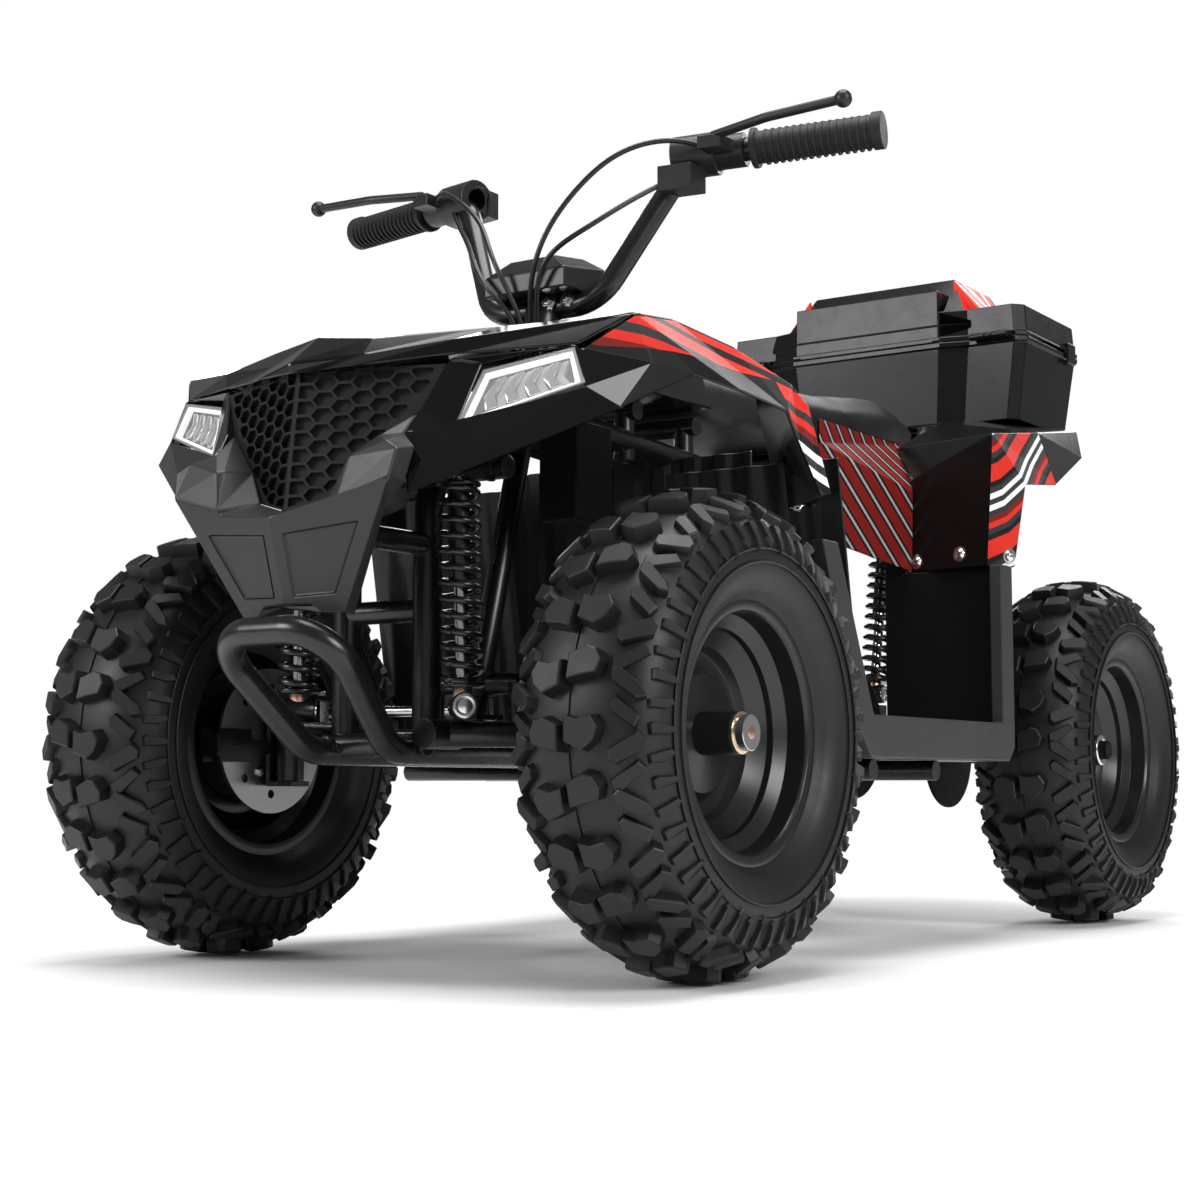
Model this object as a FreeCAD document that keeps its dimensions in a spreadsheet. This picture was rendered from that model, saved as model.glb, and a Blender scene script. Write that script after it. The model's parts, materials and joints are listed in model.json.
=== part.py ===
"""A small utility quad bike: steel tube frame, plastic bodywork, solid rear axle and a luggage box.

+X is the rider's left, +Y points to the rear, +Z is up. The origin lies on the ground under
the middle of the vehicle. Lengths are millimetres.
"""
import FreeCAD, Part
import math
import os

import Sketcher
from FreeCAD import Placement, Rotation, Vector

# Driving dimensions

SIZES = {
    # wheels
    "Wheelbase": 903, "FrontTrack": 530, "RearTrack": 503,
    "TyreDiameter": 406, "TyreWidth": 142, "BeadDiameter": 203, "TreadDepth": 14, "LugPitch": 40,
    "RimFlange": 219, "RimWidth": 98, "RimSheet": 3.5, "RimDrop": 12, "DishDepth": 46,
    "HubDiameter": 36, "SpindleDiameter": 17, "NutWidth": 30, "NutHeight": 11, "AxleStub": 22,
    "BrakeDisc": 138, "DiscThickness": 4, "RunningClearance": 0.1, "SeatClearance": 0.3,
    # chassis tubes
    "FrameTube": 25, "FrameSpacing": 90, "FrameHeight": 190, "FrameBend": 60,
    "BraceTube": 20, "Plate": 5, "UpperRailHeight": 505, "DeckEnd": 1010,
    "BatteryWidth": 42, "BatteryLength": 58, "BatteryHeight": 92, "BatteryFront": 60,
    "EngineHalf": 58, "EngineWidth": 290, "EngineFront": 300, "EngineLength": 290, "EngineHeight": 190,
    "EngineCover": 140, "CoverHeight": 146,
    # front suspension and steering
    "KingpinSpacing": 376, "KingpinDiameter": 14, "SleeveDiameter": 26, "SleeveLength": 76,
    "ArmTube": 22, "ArmPivotSpacing": 144, "ArmPivotSpread": 200,
    "ColumnTube": 22, "ColumnTopHeight": 628, "ColumnTopReach": 150,
    "ColumnFootHeight": 225, "ColumnFootReach": 40,
    "PitmanLength": 45, "RodDiameter": 10, "RodEnd": 20,
    "ShockCoil": 38, "ShockRod": 12, "ShockWire": 6.5, "ShockPitch": 13.5, "EyeDiameter": 24,
    "FrontShockAcross": 92, "FrontShockReach": 95, "FrontShockHead": 430,
    "RearShockReach": 862, "RearShockLean": 38, "RearShockFoot": 275, "RearShockHead": 480,
    # rear end
    "AxleDiameter": 30, "CarrierDiameter": 62, "CarrierLength": 140, "SwingPivotReach": 655,
    "SwingPivotHeight": 235, "RearHub": 56,
    # nudge bar
    "NoseReach": 245, "NudgeTube": 24, "NudgeDrop": 122, "NudgeHalfWidth": 66, "NudgeBend": 40,
    # handlebar
    "BarTube": 22, "BarHalfWidth": 316, "BarRise": 138, "BarSweep": 94, "BarBend": 45,
    "LeverReach": 72, "PodWidth": 96, "PodLength": 70, "PodHeight": 42, "GripDiameter": 31, "GripLength": 122,
    "LeverBall": 16.5, "CableDiameter": 5, "LeverThickness": 9,
    # bodywork
    "PanelThickness": 3, "BodyHalfWidth": 300, "BodyReach": 240, "BodyRise": 150,
    "FenderRun": 400,
    "GrilleCell": 20, "GrilleBar": 2.4, "GrilleDepth": 8,
    "LampDepth": 40, "SidePanelFront": 455, "SidePanelLength": 160,
    # seat
    "ConsoleFront": 198, "ConsoleHalf": 95,
    "SeatHalfWidth": 130, "SeatFront": 310, "SeatLength": 450, "SeatHeight": 610, "SeatThickness": 70,
    # luggage box
    "BoxHalfWidth": 207, "BoxLength": 200, "BoxFront": 850, "BoxBottom": 606, "BoxSeam": 708,
    "BoxTop": 800, "BoxWall": 3.5, "BoxFootShare": 0.93, "HingeDiameter": 9, "LatchWidth": 26,
    # footwells
    "FootHeight": 186, "FootRailHeight": 40, "FootFront": 250, "FootRear": 600, "FootInner": 152,
    "FootEdge": 14, "StripWidth": 30, "StripDrop": 12,
}

doc = FreeCAD.newDocument("QuadBike")
sheet = doc.addObject("Spreadsheet::Sheet", "Sizes")
for row, (alias, value) in enumerate(SIZES.items(), 1):
    sheet.set(f"A{row}", alias)
    sheet.set(f"B{row}", str(value))
    sheet.setAlias(f"B{row}", alias)
doc.recompute()


class Size:
    """A length that carries its value and the sheet expression that gives it."""

    def __init__(self, text, value):
        self.text = text
        self.value = float(value)

    def __float__(self):
        return self.value

    def join(self, sign, other, value):
        return Size(f"({self.text} {sign} {text_of(other)})", value)

    def __add__(self, other):
        return self.join("+", other, self.value + float(other))

    def __radd__(self, other):
        return self + other

    def __sub__(self, other):
        return self.join("-", other, self.value - float(other))

    def __rsub__(self, other):
        return Size(text_of(other), other) - self

    def __mul__(self, other):
        return self.join("*", other, self.value * float(other))

    def __rmul__(self, other):
        return self * other

    def __truediv__(self, other):
        return self.join("/", other, self.value / float(other))

    def __neg__(self):
        return self * -1

    def __lt__(self, other):
        return self.value < float(other)

    def __gt__(self, other):
        return self.value > float(other)


def text_of(value):
    return value.text if isinstance(value, Size) else repr(float(value))


class Sheet:
    """Reads the aliased cells as attributes, each one a Size."""

    def __getattr__(self, name):
        return Size(f"Sizes.{name}", sheet.get(name))


d = Sheet()

# Places that several pieces share

wheel_radius = d.TyreDiameter / 2
front_axle = (d.NoseReach - d.Wheelbase - wheel_radius) / 2
rear_axle = front_axle + d.Wheelbase
rail = d.FrameSpacing / 2
kingpin = d.KingpinSpacing / 2
nudge_top = d.TyreDiameter - d.NudgeDrop
strip_rear = d.TyreDiameter - d.StripDrop

pieces = []


def keep(piece, label):
    piece.Label = label
    pieces.append(piece)
    return piece


def at(across, back, up):
    """Point given across the vehicle, back from the front axle, and up from the ground."""
    return Vector(float(across), float(front_axle + back), float(up))


def solid(label, shape):
    """Free-form piece, whose shape is worked out above from the sheet."""
    piece = doc.addObject("Part::Feature", label)
    piece.Shape = shape
    return keep(piece, label)


def mirrored(shape):
    return shape.mirror(Vector(0, 0, 0), Vector(1, 0, 0))


def twins(label, shape):
    """Both hands of one piece in one node, as two solids apart."""
    return solid(label, Part.makeCompound([shape, mirrored(shape)]))


def both_sides(name, shape):
    solid(f"{name}_left", shape)
    solid(f"{name}_right", mirrored(shape))


# Sketches and bodies

def new_body(label):
    return keep(doc.addObject("PartDesign::Body", label), label)


def bind(thing, field, size):
    thing.setExpression(field, text_of(size))


def place(piece, across, back, up, turn=0, axis=(0, 0, 1)):
    piece.Placement = Placement(Vector(float(across), float(back), float(up)), Rotation(Vector(*axis), turn))
    for letter, size in zip("xyz", (across, back, up)):
        bind(piece, f"Placement.Base.{letter}", size)


def sketch_on(body, role, lift=None):
    sketch = body.newObject("Sketcher::SketchObject", f"{body.Name}Sketch")
    base = [feature for feature in body.Origin.OriginFeatures if feature.Role == role][0]
    sketch.AttachmentSupport = [(base, "")]
    sketch.MapMode = "FlatFace"
    if lift is not None:
        bind(sketch, "AttachmentOffset.Base.z", lift)
    return sketch


def pin_point(sketch, edge, end, corner):
    """Ties one end of an edge to a corner given by two sizes."""
    for kind, size in zip(("DistanceX", "DistanceY"), corner):
        number = sketch.addConstraint(Sketcher.Constraint(kind, -1, 1, edge, end, float(size)))
        if isinstance(size, Size):
            sketch.setExpression(f"Constraints[{number}]", size.text)


def outline(sketch, corners, bulges=None):
    """Closed outline through corners; bulges gives the radius of edges that are arcs."""
    bulges = bulges or {}
    first = sketch.GeometryCount
    for number, corner in enumerate(corners):
        following = corners[(number + 1) % len(corners)]
        start = Vector(float(corner[0]), float(corner[1]), 0)
        end = Vector(float(following[0]), float(following[1]), 0)
        if number in bulges:
            add_arc(sketch, start, end, bulges[number])
        else:
            sketch.addGeometry(Part.LineSegment(start, end), False)
    for number, corner in enumerate(corners):
        edge = first + number
        before = first + (number - 1) % len(corners)
        own = start_end(sketch, edge, corner)
        sketch.addConstraint(Sketcher.Constraint(
            "Coincident", before, start_end(sketch, before, corner), edge, own))
        pin_point(sketch, edge, own, corner)
    for number, radius in bulges.items():
        index = sketch.addConstraint(Sketcher.Constraint("Radius", first + number, abs(float(radius))))
        sketch.setExpression(f"Constraints[{index}]", text_of(radius if radius > 0 else -radius))
    return sketch


def add_arc(sketch, start, end, radius):
    """Arc from start to end; a positive radius bulges to the right of the way."""
    chord = end - start
    half = chord.Length / 2
    size = abs(float(radius))
    side = Vector(chord.y, -chord.x, 0).normalize() * (1 if radius > 0 else -1)
    rise = size - math.sqrt(size * size - half * half)
    middle = (start + end) * 0.5 + side * rise
    sketch.addGeometry(Part.Arc(start, middle, end), False)


def start_end(sketch, edge, corner):
    """Which end of an edge lies at a corner."""
    point = Vector(float(corner[0]), float(corner[1]), 0)
    near = [(sketch.getPoint(edge, end) - point).Length for end in (1, 2)]
    return 1 if near[0] <= near[1] else 2


def ring(sketch, radius, across=0, up=0):
    """Circle of a given radius about a point of the sketch."""
    edge = sketch.addGeometry(Part.Circle(Vector(float(across), float(up), 0), Vector(0, 0, 1), float(radius)))
    index = sketch.addConstraint(Sketcher.Constraint("Radius", edge, float(radius)))
    bind(sketch, f"Constraints[{index}]", radius)
    pin_point(sketch, edge, 3, (across, up))
    return edge


def spin(body, corners, bulges=None):
    """Turns an outline of places along X and radii about the X axis."""
    profile = outline(sketch_on(body, "XZ_Plane"), corners, bulges)
    turned = body.newObject("PartDesign::Revolution", f"{body.Name}Turned")
    turned.Profile = profile
    turned.ReferenceAxis = (profile, ["H_Axis"])
    turned.Angle = 360
    return turned


def pad(body, sketch, length, middle=False):
    raised = body.newObject("PartDesign::Pad", f"{body.Name}Pad")
    raised.Profile = sketch
    bind(raised, "Length", length)
    raised.Midplane = middle
    return raised


def pocket(body, sketch, length, middle=False, back=False):
    hollow = body.newObject("PartDesign::Pocket", f"{body.Name}Pocket")
    hollow.Profile = sketch
    bind(hollow, "Length", length)
    hollow.Midplane = middle
    hollow.Reversed = back
    return hollow


# Free-form shapes

def route(points, bend):
    """Straight runs joined by tangent arcs."""
    edges = []
    start = points[0]
    for before, corner, after in zip(points, points[1:], points[2:]):
        inward = (before - corner).normalize()
        outward = (after - corner).normalize()
        half = inward.getAngle(outward) / 2
        reach = float(bend) / math.tan(half)
        enter = corner + inward * reach
        leave = corner + outward * reach
        middle = (inward + outward).normalize()
        apex = corner + middle * (float(bend) / math.sin(half) - float(bend))
        edges.append(Part.LineSegment(start, enter).toShape())
        edges.append(Part.Arc(enter, apex, leave).toShape())
        start = leave
    edges.append(Part.LineSegment(start, points[-1]).toShape())
    return Part.Wire(edges)


def tube(points, bend, diameter):
    """Round bar along a route."""
    section = Part.Wire(Part.makeCircle(float(diameter) / 2, points[0], points[1] - points[0]))
    return route(points, bend).makePipeShell([section], True, False)


def rod(start, end, diameter):
    way = end - start
    return Part.makeCylinder(float(diameter) / 2, way.Length, start, way)


def slab(low, high):
    """Upright box between two corners."""
    span = high - low
    return Part.makeBox(span.x, span.y, span.z, low)


def fuse(shapes):
    joined = shapes[0]
    for shape in shapes[1:]:
        joined = joined.fuse(shape)
    return joined.removeSplitter()


def faces_of(points, names):
    """One flat face for a loop of points, or a fan of triangles where the loop is not flat."""
    loop = [points[name] for name in names]
    flat = Part.makePolygon(loop + loop[:1])
    if len(loop) == 3:
        return [Part.Face(flat)]
    normal = (loop[1] - loop[0]).cross(loop[2] - loop[0]).normalize()
    flatness = float(d.RunningClearance) / 1000
    if all(abs((point - loop[0]).dot(normal)) < flatness for point in loop):
        return [Part.Face(flat)]
    fan = []
    for second, third in zip(loop[1:], loop[2:]):
        fan.append(Part.Face(Part.makePolygon([loop[0], second, third, loop[0]])))
    return fan


def loop_normal(points, names):
    loop = [points[name] for name in names]
    total = Vector(0, 0, 0)
    for one, two in zip(loop, loop[1:] + loop[:1]):
        total += one.cross(two)
    return total.normalize()


def closed(faces):
    body = Part.Solid(Part.Shell(faces))
    if body.Volume < 0:
        body.reverse()
    return body


def block(points, loops):
    """Solid bounded by loops of named points."""
    faces = []
    for names in loops:
        faces += faces_of(points, names)
    return closed(faces)


def panel(points, loops, thickness):
    """Sheet of even thickness behind a faceted outer skin."""
    normals = {name: Vector(0, 0, 0) for names in loops for name in names}
    for names in loops:
        for name in names:
            normals[name] += loop_normal(points, names)
    both = dict(points)
    for name, normal in normals.items():
        both[name + "'"] = points[name] - normal.normalize() * float(thickness)
    rims = {}
    for names in loops:
        for one, two in zip(names, names[1:] + names[:1]):
            rims[(one, two)] = (two, one) not in rims and rims.get((one, two), True)
            if (two, one) in rims:
                rims[(two, one)] = False
                rims[(one, two)] = False
    faces = []
    for names in loops:
        faces += faces_of(both, names)
        # the inner skin is split the same way as the outer one
        faces += faces_of(both, tuple(name + "'" for name in names))
    for (one, two), open_edge in rims.items():
        if open_edge:
            faces += faces_of(both, (one, two, two + "'", one + "'"))
    return closed(faces)


def scaled_points(shares, place_of):
    return {name: place_of(*share) for name, share in shares.items()}


def trim(shape, *others):
    """What is left of a shape beside its neighbours."""
    left = shape.cut(list(others))
    return max(left.Solids, key=lambda part: part.Volume)


# Wheels

def wheel_point(place, radius, angle):
    """Point about the X axis: its place along the axis, its radius and its angle in degrees."""
    turn = math.radians(angle)
    return Vector(float(place), float(radius) * math.sin(turn), float(radius) * math.cos(turn))


def flat_face(loop, holes=()):
    """Flat face through a loop of points, less any holes in the same plane."""
    wires = [Part.makePolygon(list(one) + [one[0]]) for one in (loop, *holes)]
    return Part.makeFace(wires, "Part::FaceMakerBullseye")


def tyre_lug(corners, rise):
    """Side and top faces of a raised block on a flat stretch of the crown, narrower at its top."""
    middle = sum(corners, Vector()) * (1 / len(corners))
    outward = Vector(0, middle.y, middle.z).normalize() * float(rise)
    top = [middle + (corner - middle) * 0.86 + outward for corner in corners]
    walls = []
    for one, two, three, four in zip(corners, corners[1:] + corners[:1], top[1:] + top[:1], top):
        walls.append(flat_face([one, two, three, four]))
    return walls + [flat_face(top)]


def tyre_shape():
    """Balloon tyre of flat facets: a ring of crowned stretches with bars over alternate shoulders."""
    half = d.TyreWidth / 2
    depth = d.TreadDepth
    crown = wheel_radius - depth * 0.62
    bead = d.BeadDiameter / 2 + d.RunningClearance
    lip = d.RimFlange / 2 + d.SeatClearance
    belly = (bead + crown) / 2
    seat = d.RimWidth / 2 - d.RimSheet - d.SeatClearance
    middle = half * 0.52
    wall = half - depth * 0.3
    carcass = [(seat, bead), (seat, lip), (wall, belly), (middle * 1.45, crown - depth), (middle, crown)]
    bar = [(wall, belly), (half, crown - depth * 0.7), (middle, wheel_radius)]
    stretches = 4 * round(float(wheel_radius * 2 * math.pi / (d.LugPitch * 4)))
    turn = 360 / stretches
    # a round rim fits inside the flats of the bore
    fit = 1 / math.cos(math.radians(turn * 0.6))
    angles = [number * turn + (0.1 * turn if number % 2 else -0.1 * turn) for number in range(stretches)]
    faces = []
    for number, low in enumerate(angles):
        high = angles[(number + 1) % stretches]
        if high < low:
            high += 360
        for side in (-1, 1):
            profile = [(side * place, radius * (fit if radius < lip else 1)) for place, radius in carcass]
            raised = number % 2 == (0 if side > 0 else 1)
            for one, two in zip(profile[:2] if raised else profile, profile[1:3] if raised else profile[1:]):
                faces += strip(one, two, low, high)
            if raised:
                faces += shoulder_bar([(side * place, radius) for place, radius in bar], profile[2:], low, high)
        faces += strip((-seat, bead * fit), (seat, bead * fit), low, high)
        faces += crown_faces(middle, crown, low, high, number)
    return closed(faces)


def strip(one, two, low, high):
    """Flat stretch of the ring between two profile points and two angles."""
    corners = [wheel_point(*one, low), wheel_point(*two, low), wheel_point(*two, high), wheel_point(*one, high)]
    return [flat_face(corners)]


def shoulder_bar(bar, base, low, high):
    """Bar over one shoulder, with its two side walls down to the carcass."""
    top = bar + [base[-1]]
    faces = []
    for one, two in zip(top, top[1:]):
        faces += strip(one, two, low, high)
    for angle in (low, high):
        faces.append(flat_face([wheel_point(*point, angle) for point in bar + base[:0:-1]]))
    return faces


def crown_faces(middle, crown, low, high, number):
    """Flat of the crown with one skewed lug, left and right of the seam in turn."""
    corners = [wheel_point(-middle, crown, low), wheel_point(middle, crown, low),
               wheel_point(middle, crown, high), wheel_point(-middle, crown, high)]
    side = 1 if number % 2 else -1
    shares = [(0.06, 0.10), (0.62, 0.32), (0.66, 0.92), (0.10, 0.72)]
    base = []
    for across, along in shares:
        near = corners[0] + (corners[1] - corners[0]) * (0.5 + side * across / 2)
        far = corners[3] + (corners[2] - corners[3]) * (0.5 + side * across / 2)
        base.append(near + (far - near) * along)
    return [flat_face(corners, [base])] + tyre_lug(base, d.TreadDepth * 0.6)


def tyre(label, shape, across, back):
    piece = solid(label, shape)
    place(piece, across, back, wheel_radius)


def rim(label, across, back, turn, hub_out, hub_in, bore):
    """Stamped steel wheel: flanged rim with a drop centre, stepped dish and hub tube."""
    body = new_body(label)
    edge = d.RimWidth / 2
    lip = d.RimFlange / 2
    seat = d.BeadDiameter / 2
    sheet_wall = d.RimSheet
    low = seat - d.RimDrop
    dish = edge - d.DishDepth
    step = d.RimDrop
    hub = d.HubDiameter / 2
    corners = [(edge, lip), (edge - sheet_wall, lip), (edge - sheet_wall, seat),
               (edge * 0.55, seat), (edge * 0.4, low),
               (-edge * 0.4, low), (-edge * 0.55, seat),
               (sheet_wall - edge, seat), (sheet_wall - edge, lip), (-edge, lip),
               (-edge, seat - sheet_wall), (-edge * 0.58, seat - sheet_wall), (-edge * 0.43, low - sheet_wall),
               (dish + step - sheet_wall, low - sheet_wall), (dish - sheet_wall, low - step * 1.5),
               (dish - step, low - step * 1.7), (dish - step, low - step * 2.6),
               (dish - sheet_wall, low - step * 3.2), (dish - sheet_wall, hub),
               (hub_in, hub), (hub_in, bore), (hub_out, bore), (hub_out, hub),
               (dish, hub), (dish, low - step * 3.4),
               (dish - step + sheet_wall, low - step * 2.8), (dish - step + sheet_wall, low - step * 1.7),
               (dish, low - step * 1.4), (dish + step, low - sheet_wall),
               (edge * 0.43, low - sheet_wall), (edge * 0.58, seat - sheet_wall), (edge, seat - sheet_wall)]
    spin(body, corners)
    place(body, across, back, wheel_radius, turn)


def brake_disc(label, side):
    """Drilled disc whose carrier is clamped to the inner end of the hub."""
    body = new_body(label)
    inner = d.DiscThickness
    hub = d.HubDiameter / 2
    bore = d.SpindleDiameter / 2 + d.RunningClearance
    reach = d.RimWidth / 2
    spin(body, [(-reach - inner, bore), (-reach, bore), (-reach, d.BrakeDisc / 2),
                (-reach - inner, d.BrakeDisc / 2)])
    doc.recompute()
    holes = sketch_on(body, "YZ_Plane", -reach)
    for turn in range(0, 360, 45):
        angle = math.radians(turn)
        ring(holes, d.DiscThickness, (hub + d.BrakeDisc / 2) * 0.58 * math.cos(angle),
             (hub + d.BrakeDisc / 2) * 0.58 * math.sin(angle))
    pocket(body, holes, inner * 2, middle=False)
    place(body, side * d.FrontTrack / 2, front_axle, wheel_radius, 0 if side > 0 else 180)


def front_wheels(rubber):
    for name, side in (("left", 1), ("right", -1)):
        across = side * d.FrontTrack / 2
        turn = 0 if side > 0 else 180
        tyre(f"front_tyre_{name}", rubber, across, front_axle)
        rim(f"front_rim_{name}", across, front_axle, turn,
            d.RimWidth / 2 - d.NutHeight, -d.RimWidth / 2,
            d.SpindleDiameter / 2 + d.RunningClearance)
        brake_disc(f"front_brake_disc_{name}", side)


def rear_wheels(rubber):
    for name, side in (("left", 1), ("right", -1)):
        across = side * d.RearTrack / 2
        turn = 0 if side > 0 else 180
        tyre(f"rear_tyre_{name}", rubber, across, rear_axle)
        rim(f"rear_rim_{name}", across, rear_axle, turn,
            d.RimWidth / 4, -d.RimWidth / 4, d.AxleDiameter / 2)


def axle_shaft():
    """Solid rear axle with its hubs, nuts, sprocket and brake disc."""
    body = new_body("rear_axle")
    end = d.RearTrack / 2 + d.RimWidth / 4
    hub_face = d.RearTrack / 2 - d.RimWidth / 4
    shaft = d.AxleDiameter / 2
    collar = d.CarrierLength / 2 + d.SeatClearance
    disc_wall = d.DiscThickness
    spin(body, [(-end - d.NutHeight, 0), (end + d.NutHeight, 0), (end + d.NutHeight, d.AxleStub / 2),
                (end, d.AxleStub / 2), (end, shaft), (hub_face, shaft), (hub_face, d.RearHub / 2),
                (hub_face - disc_wall * 2, d.RearHub / 2), (hub_face - disc_wall * 2, shaft),
                (collar + disc_wall * 3, shaft), (collar + disc_wall * 3, d.BrakeDisc / 2),
                (collar + disc_wall * 2, d.BrakeDisc / 2), (collar + disc_wall * 2, d.RearHub / 2),
                (collar, d.RearHub / 2), (collar, shaft),
                (-collar, shaft), (-collar, d.RearHub / 2),
                (-collar - disc_wall * 2, d.RearHub / 2), (-collar - disc_wall * 2, d.BrakeDisc / 2),
                (-collar - disc_wall * 3, d.BrakeDisc / 2), (-collar - disc_wall * 3, shaft),
                (disc_wall * 2 - hub_face, shaft), (disc_wall * 2 - hub_face, d.RearHub / 2),
                (-hub_face, d.RearHub / 2), (-hub_face, shaft), (-end, shaft), (-end, d.AxleStub / 2),
                (-end - d.NutHeight, d.AxleStub / 2)])
    place(body, 0, rear_axle, wheel_radius)


# Knuckles, arms and shocks

def knuckle():
    """Forked knuckle on its kingpin, with the wheel spindle, nut, steering arm and caliper."""
    hub_height = wheel_radius
    ear = d.SleeveLength / 2 + d.SeatClearance
    back_plate = kingpin + d.SleeveDiameter / 2 + d.RunningClearance * 10
    plate = d.Plate
    half = d.SleeveDiameter / 2
    tip = d.FrontTrack / 2 + d.RimWidth / 2
    parts = [slab(at(back_plate, -half, hub_height - ear - plate),
                  at(back_plate + plate, half, hub_height + ear + plate))]
    for low, high in ((ear, ear + plate), (-ear - plate, -ear)):
        parts.append(slab(at(kingpin - half, -half, hub_height + low), at(back_plate, half, hub_height + high)))
    parts.append(rod(at(kingpin, 0, hub_height - ear - plate), at(kingpin, 0, hub_height + ear + plate),
                     d.KingpinDiameter))
    parts.append(rod(at(back_plate, 0, hub_height), at(tip, 0, hub_height), d.SpindleDiameter))
    parts.append(rod(at(tip - d.NutHeight + d.SeatClearance, 0, hub_height), at(tip, 0, hub_height), d.NutWidth))
    parts.append(slab(at(kingpin - half, half - plate, hub_height + ear),
                      at(kingpin + half, d.PitmanLength + d.RodEnd / 2, hub_height + ear + plate)))
    # caliper bracket and body, forward of the spindle and clear of the disc
    disc_in = d.FrontTrack / 2 - d.RimWidth / 2 - d.DiscThickness
    parts.append(slab(at(back_plate, -disc_in / 3, hub_height - half), at(back_plate + plate * 0.6, -half, hub_height)))
    parts += caliper(back_plate, hub_height, disc_in)
    pin_hole = rod(at(kingpin, d.PitmanLength, hub_height), at(kingpin, d.PitmanLength, hub_height * 2),
                   d.RodDiameter + d.RunningClearance * 2)
    return fuse(parts).cut(pin_hole)


def caliper(back_plate, hub_height, disc_in):
    """Two halves beside the disc, joined by a bridge beyond its rim."""
    gap = d.Plate
    disc_out = disc_in + d.DiscThickness
    edge = d.BrakeDisc / 2
    low = hub_height - d.SleeveDiameter * 0.8
    high = hub_height + d.SleeveDiameter * 0.4
    inside = slab(at(back_plate, -edge - gap * 2, low), at(disc_in - gap, -edge * 0.55, high))
    bridge = slab(at(back_plate, -edge - gap * 2.6, low + gap), at(disc_out + gap * 2, -edge - gap, high - gap))
    outside = slab(at(disc_out + gap, -edge - gap * 2.6, low), at(disc_out + gap * 2, -edge * 0.6, high))
    return [inside, bridge, outside]


def front_arm():
    """A-arm: two legs from the frame pivots to the kingpin sleeve."""
    up = wheel_radius
    pivot = d.ArmPivotSpacing / 2
    spread = d.ArmPivotSpread / 2
    sleeve = rod(at(kingpin, 0, up - d.SleeveLength / 2), at(kingpin, 0, up + d.SleeveLength / 2), d.SleeveDiameter)
    legs = []
    for side in (-1, 1):
        legs.append(rod(at(pivot, side * spread, up), at(kingpin - d.SleeveDiameter / 4, 0, up), d.ArmTube))
        legs.append(rod(at(pivot, side * spread - d.ArmTube, up), at(pivot, side * spread + d.ArmTube, up),
                        d.ArmTube + d.RimSheet))
    bore = rod(at(kingpin, 0, up - d.SleeveLength), at(kingpin, 0, up + d.SleeveLength),
               d.KingpinDiameter + d.RunningClearance * 2)
    return fuse([sleeve] + legs).cut(bore)


def coil(start, end):
    """Spring of flat facets wound about the line from start to end."""
    way = (end - start).normalize()
    side = way.cross(Vector(1, 0, 0)).normalize()
    ahead = way.cross(side)
    wire = d.ShockWire / 2
    radius = float(d.ShockCoil / 2 - wire)
    steps = 12
    turns = round((end - start).Length / float(d.ShockPitch))
    rings = []
    for number in range(steps * turns + 1):
        angle = math.tau * number / steps
        outward = side * math.cos(angle) + ahead * math.sin(angle)
        centre = start + (end - start) * (number / (steps * turns)) + outward * radius
        section = []
        for corner in range(6):
            lean = math.tau * corner / 6
            section.append(centre + outward * float(wire) * math.cos(lean) + way * float(wire) * math.sin(lean))
        rings.append(section)
    faces = [Part.Face(Part.makePolygon(ring_points + ring_points[:1])) for ring_points in (rings[0], rings[-1])]
    for before, after in zip(rings, rings[1:]):
        for corner in range(6):
            one, two = before[corner], before[corner - 1]
            three, four = after[corner - 1], after[corner]
            faces.append(Part.Face(Part.makePolygon([one, two, three, one])))
            faces.append(Part.Face(Part.makePolygon([one, three, four, one])))
    return closed(faces)


def shock(foot, head):
    """Damper with eyes, body, two spring seats and the coil between them."""
    way = (head - foot).normalize()
    eye = float(d.EyeDiameter)
    seat = foot + way * eye * 0.62
    top = head - way * eye * 0.62
    thick = way * float(d.Plate)
    middle = foot + (head - foot) * 0.55
    parts = [rod(foot, head, d.ShockRod), rod(middle, head, d.ShockCoil - d.ShockWire * 3),
             rod(seat, seat + thick, d.ShockCoil), rod(top - thick, top, d.ShockCoil)]
    side = Vector(1, 0, 0) * (eye / 2)
    for point in (foot, head):
        parts.append(rod(point - side, point + side, eye))
    return fuse(parts + [coil(seat + thick * 0.7, top - thick * 0.7)])


def suspension():
    both_sides("front_knuckle", knuckle())
    twins("front_arms", front_arm())
    twins("front_shocks", shock(shock_foot(), shock_head()))
    solid("rear_shock", shock(at(0, d.RearShockReach, d.RearShockFoot),
                              at(0, d.RearShockReach + d.RearShockLean, d.RearShockHead)))


def shock_foot():
    return at(d.FrontShockAcross, -d.FrontShockReach, wheel_radius + d.ArmTube / 2 + d.EyeDiameter / 2)


def shock_head():
    return at(d.FrontShockAcross - d.Plate, -d.FrontShockReach - d.Plate, d.FrontShockHead)


def tie_rod():
    """Rod from the pitman arm to the steering arm, with its two ends."""
    back = d.PitmanLength
    ear = wheel_radius + d.SleeveLength / 2 + d.SeatClearance
    up = ear - d.RodEnd / 2 - d.SeatClearance
    inner = d.RodEnd
    lift = ear + d.Plate * 2 - up
    outer = at(kingpin, back, up)
    inside = at(inner, d.ColumnFootReach + back, up)
    half = Vector(0, 0, float(d.RodEnd) / 2)
    parts = [rod(inside, outer, d.RodDiameter)]
    for point in (inside, outer):
        parts.append(rod(point - half, point + half, d.RodEnd * 0.9))
    parts.append(rod(outer, outer + Vector(0, 0, float(lift)), d.RodDiameter))
    return fuse(parts)


# Steering

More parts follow.
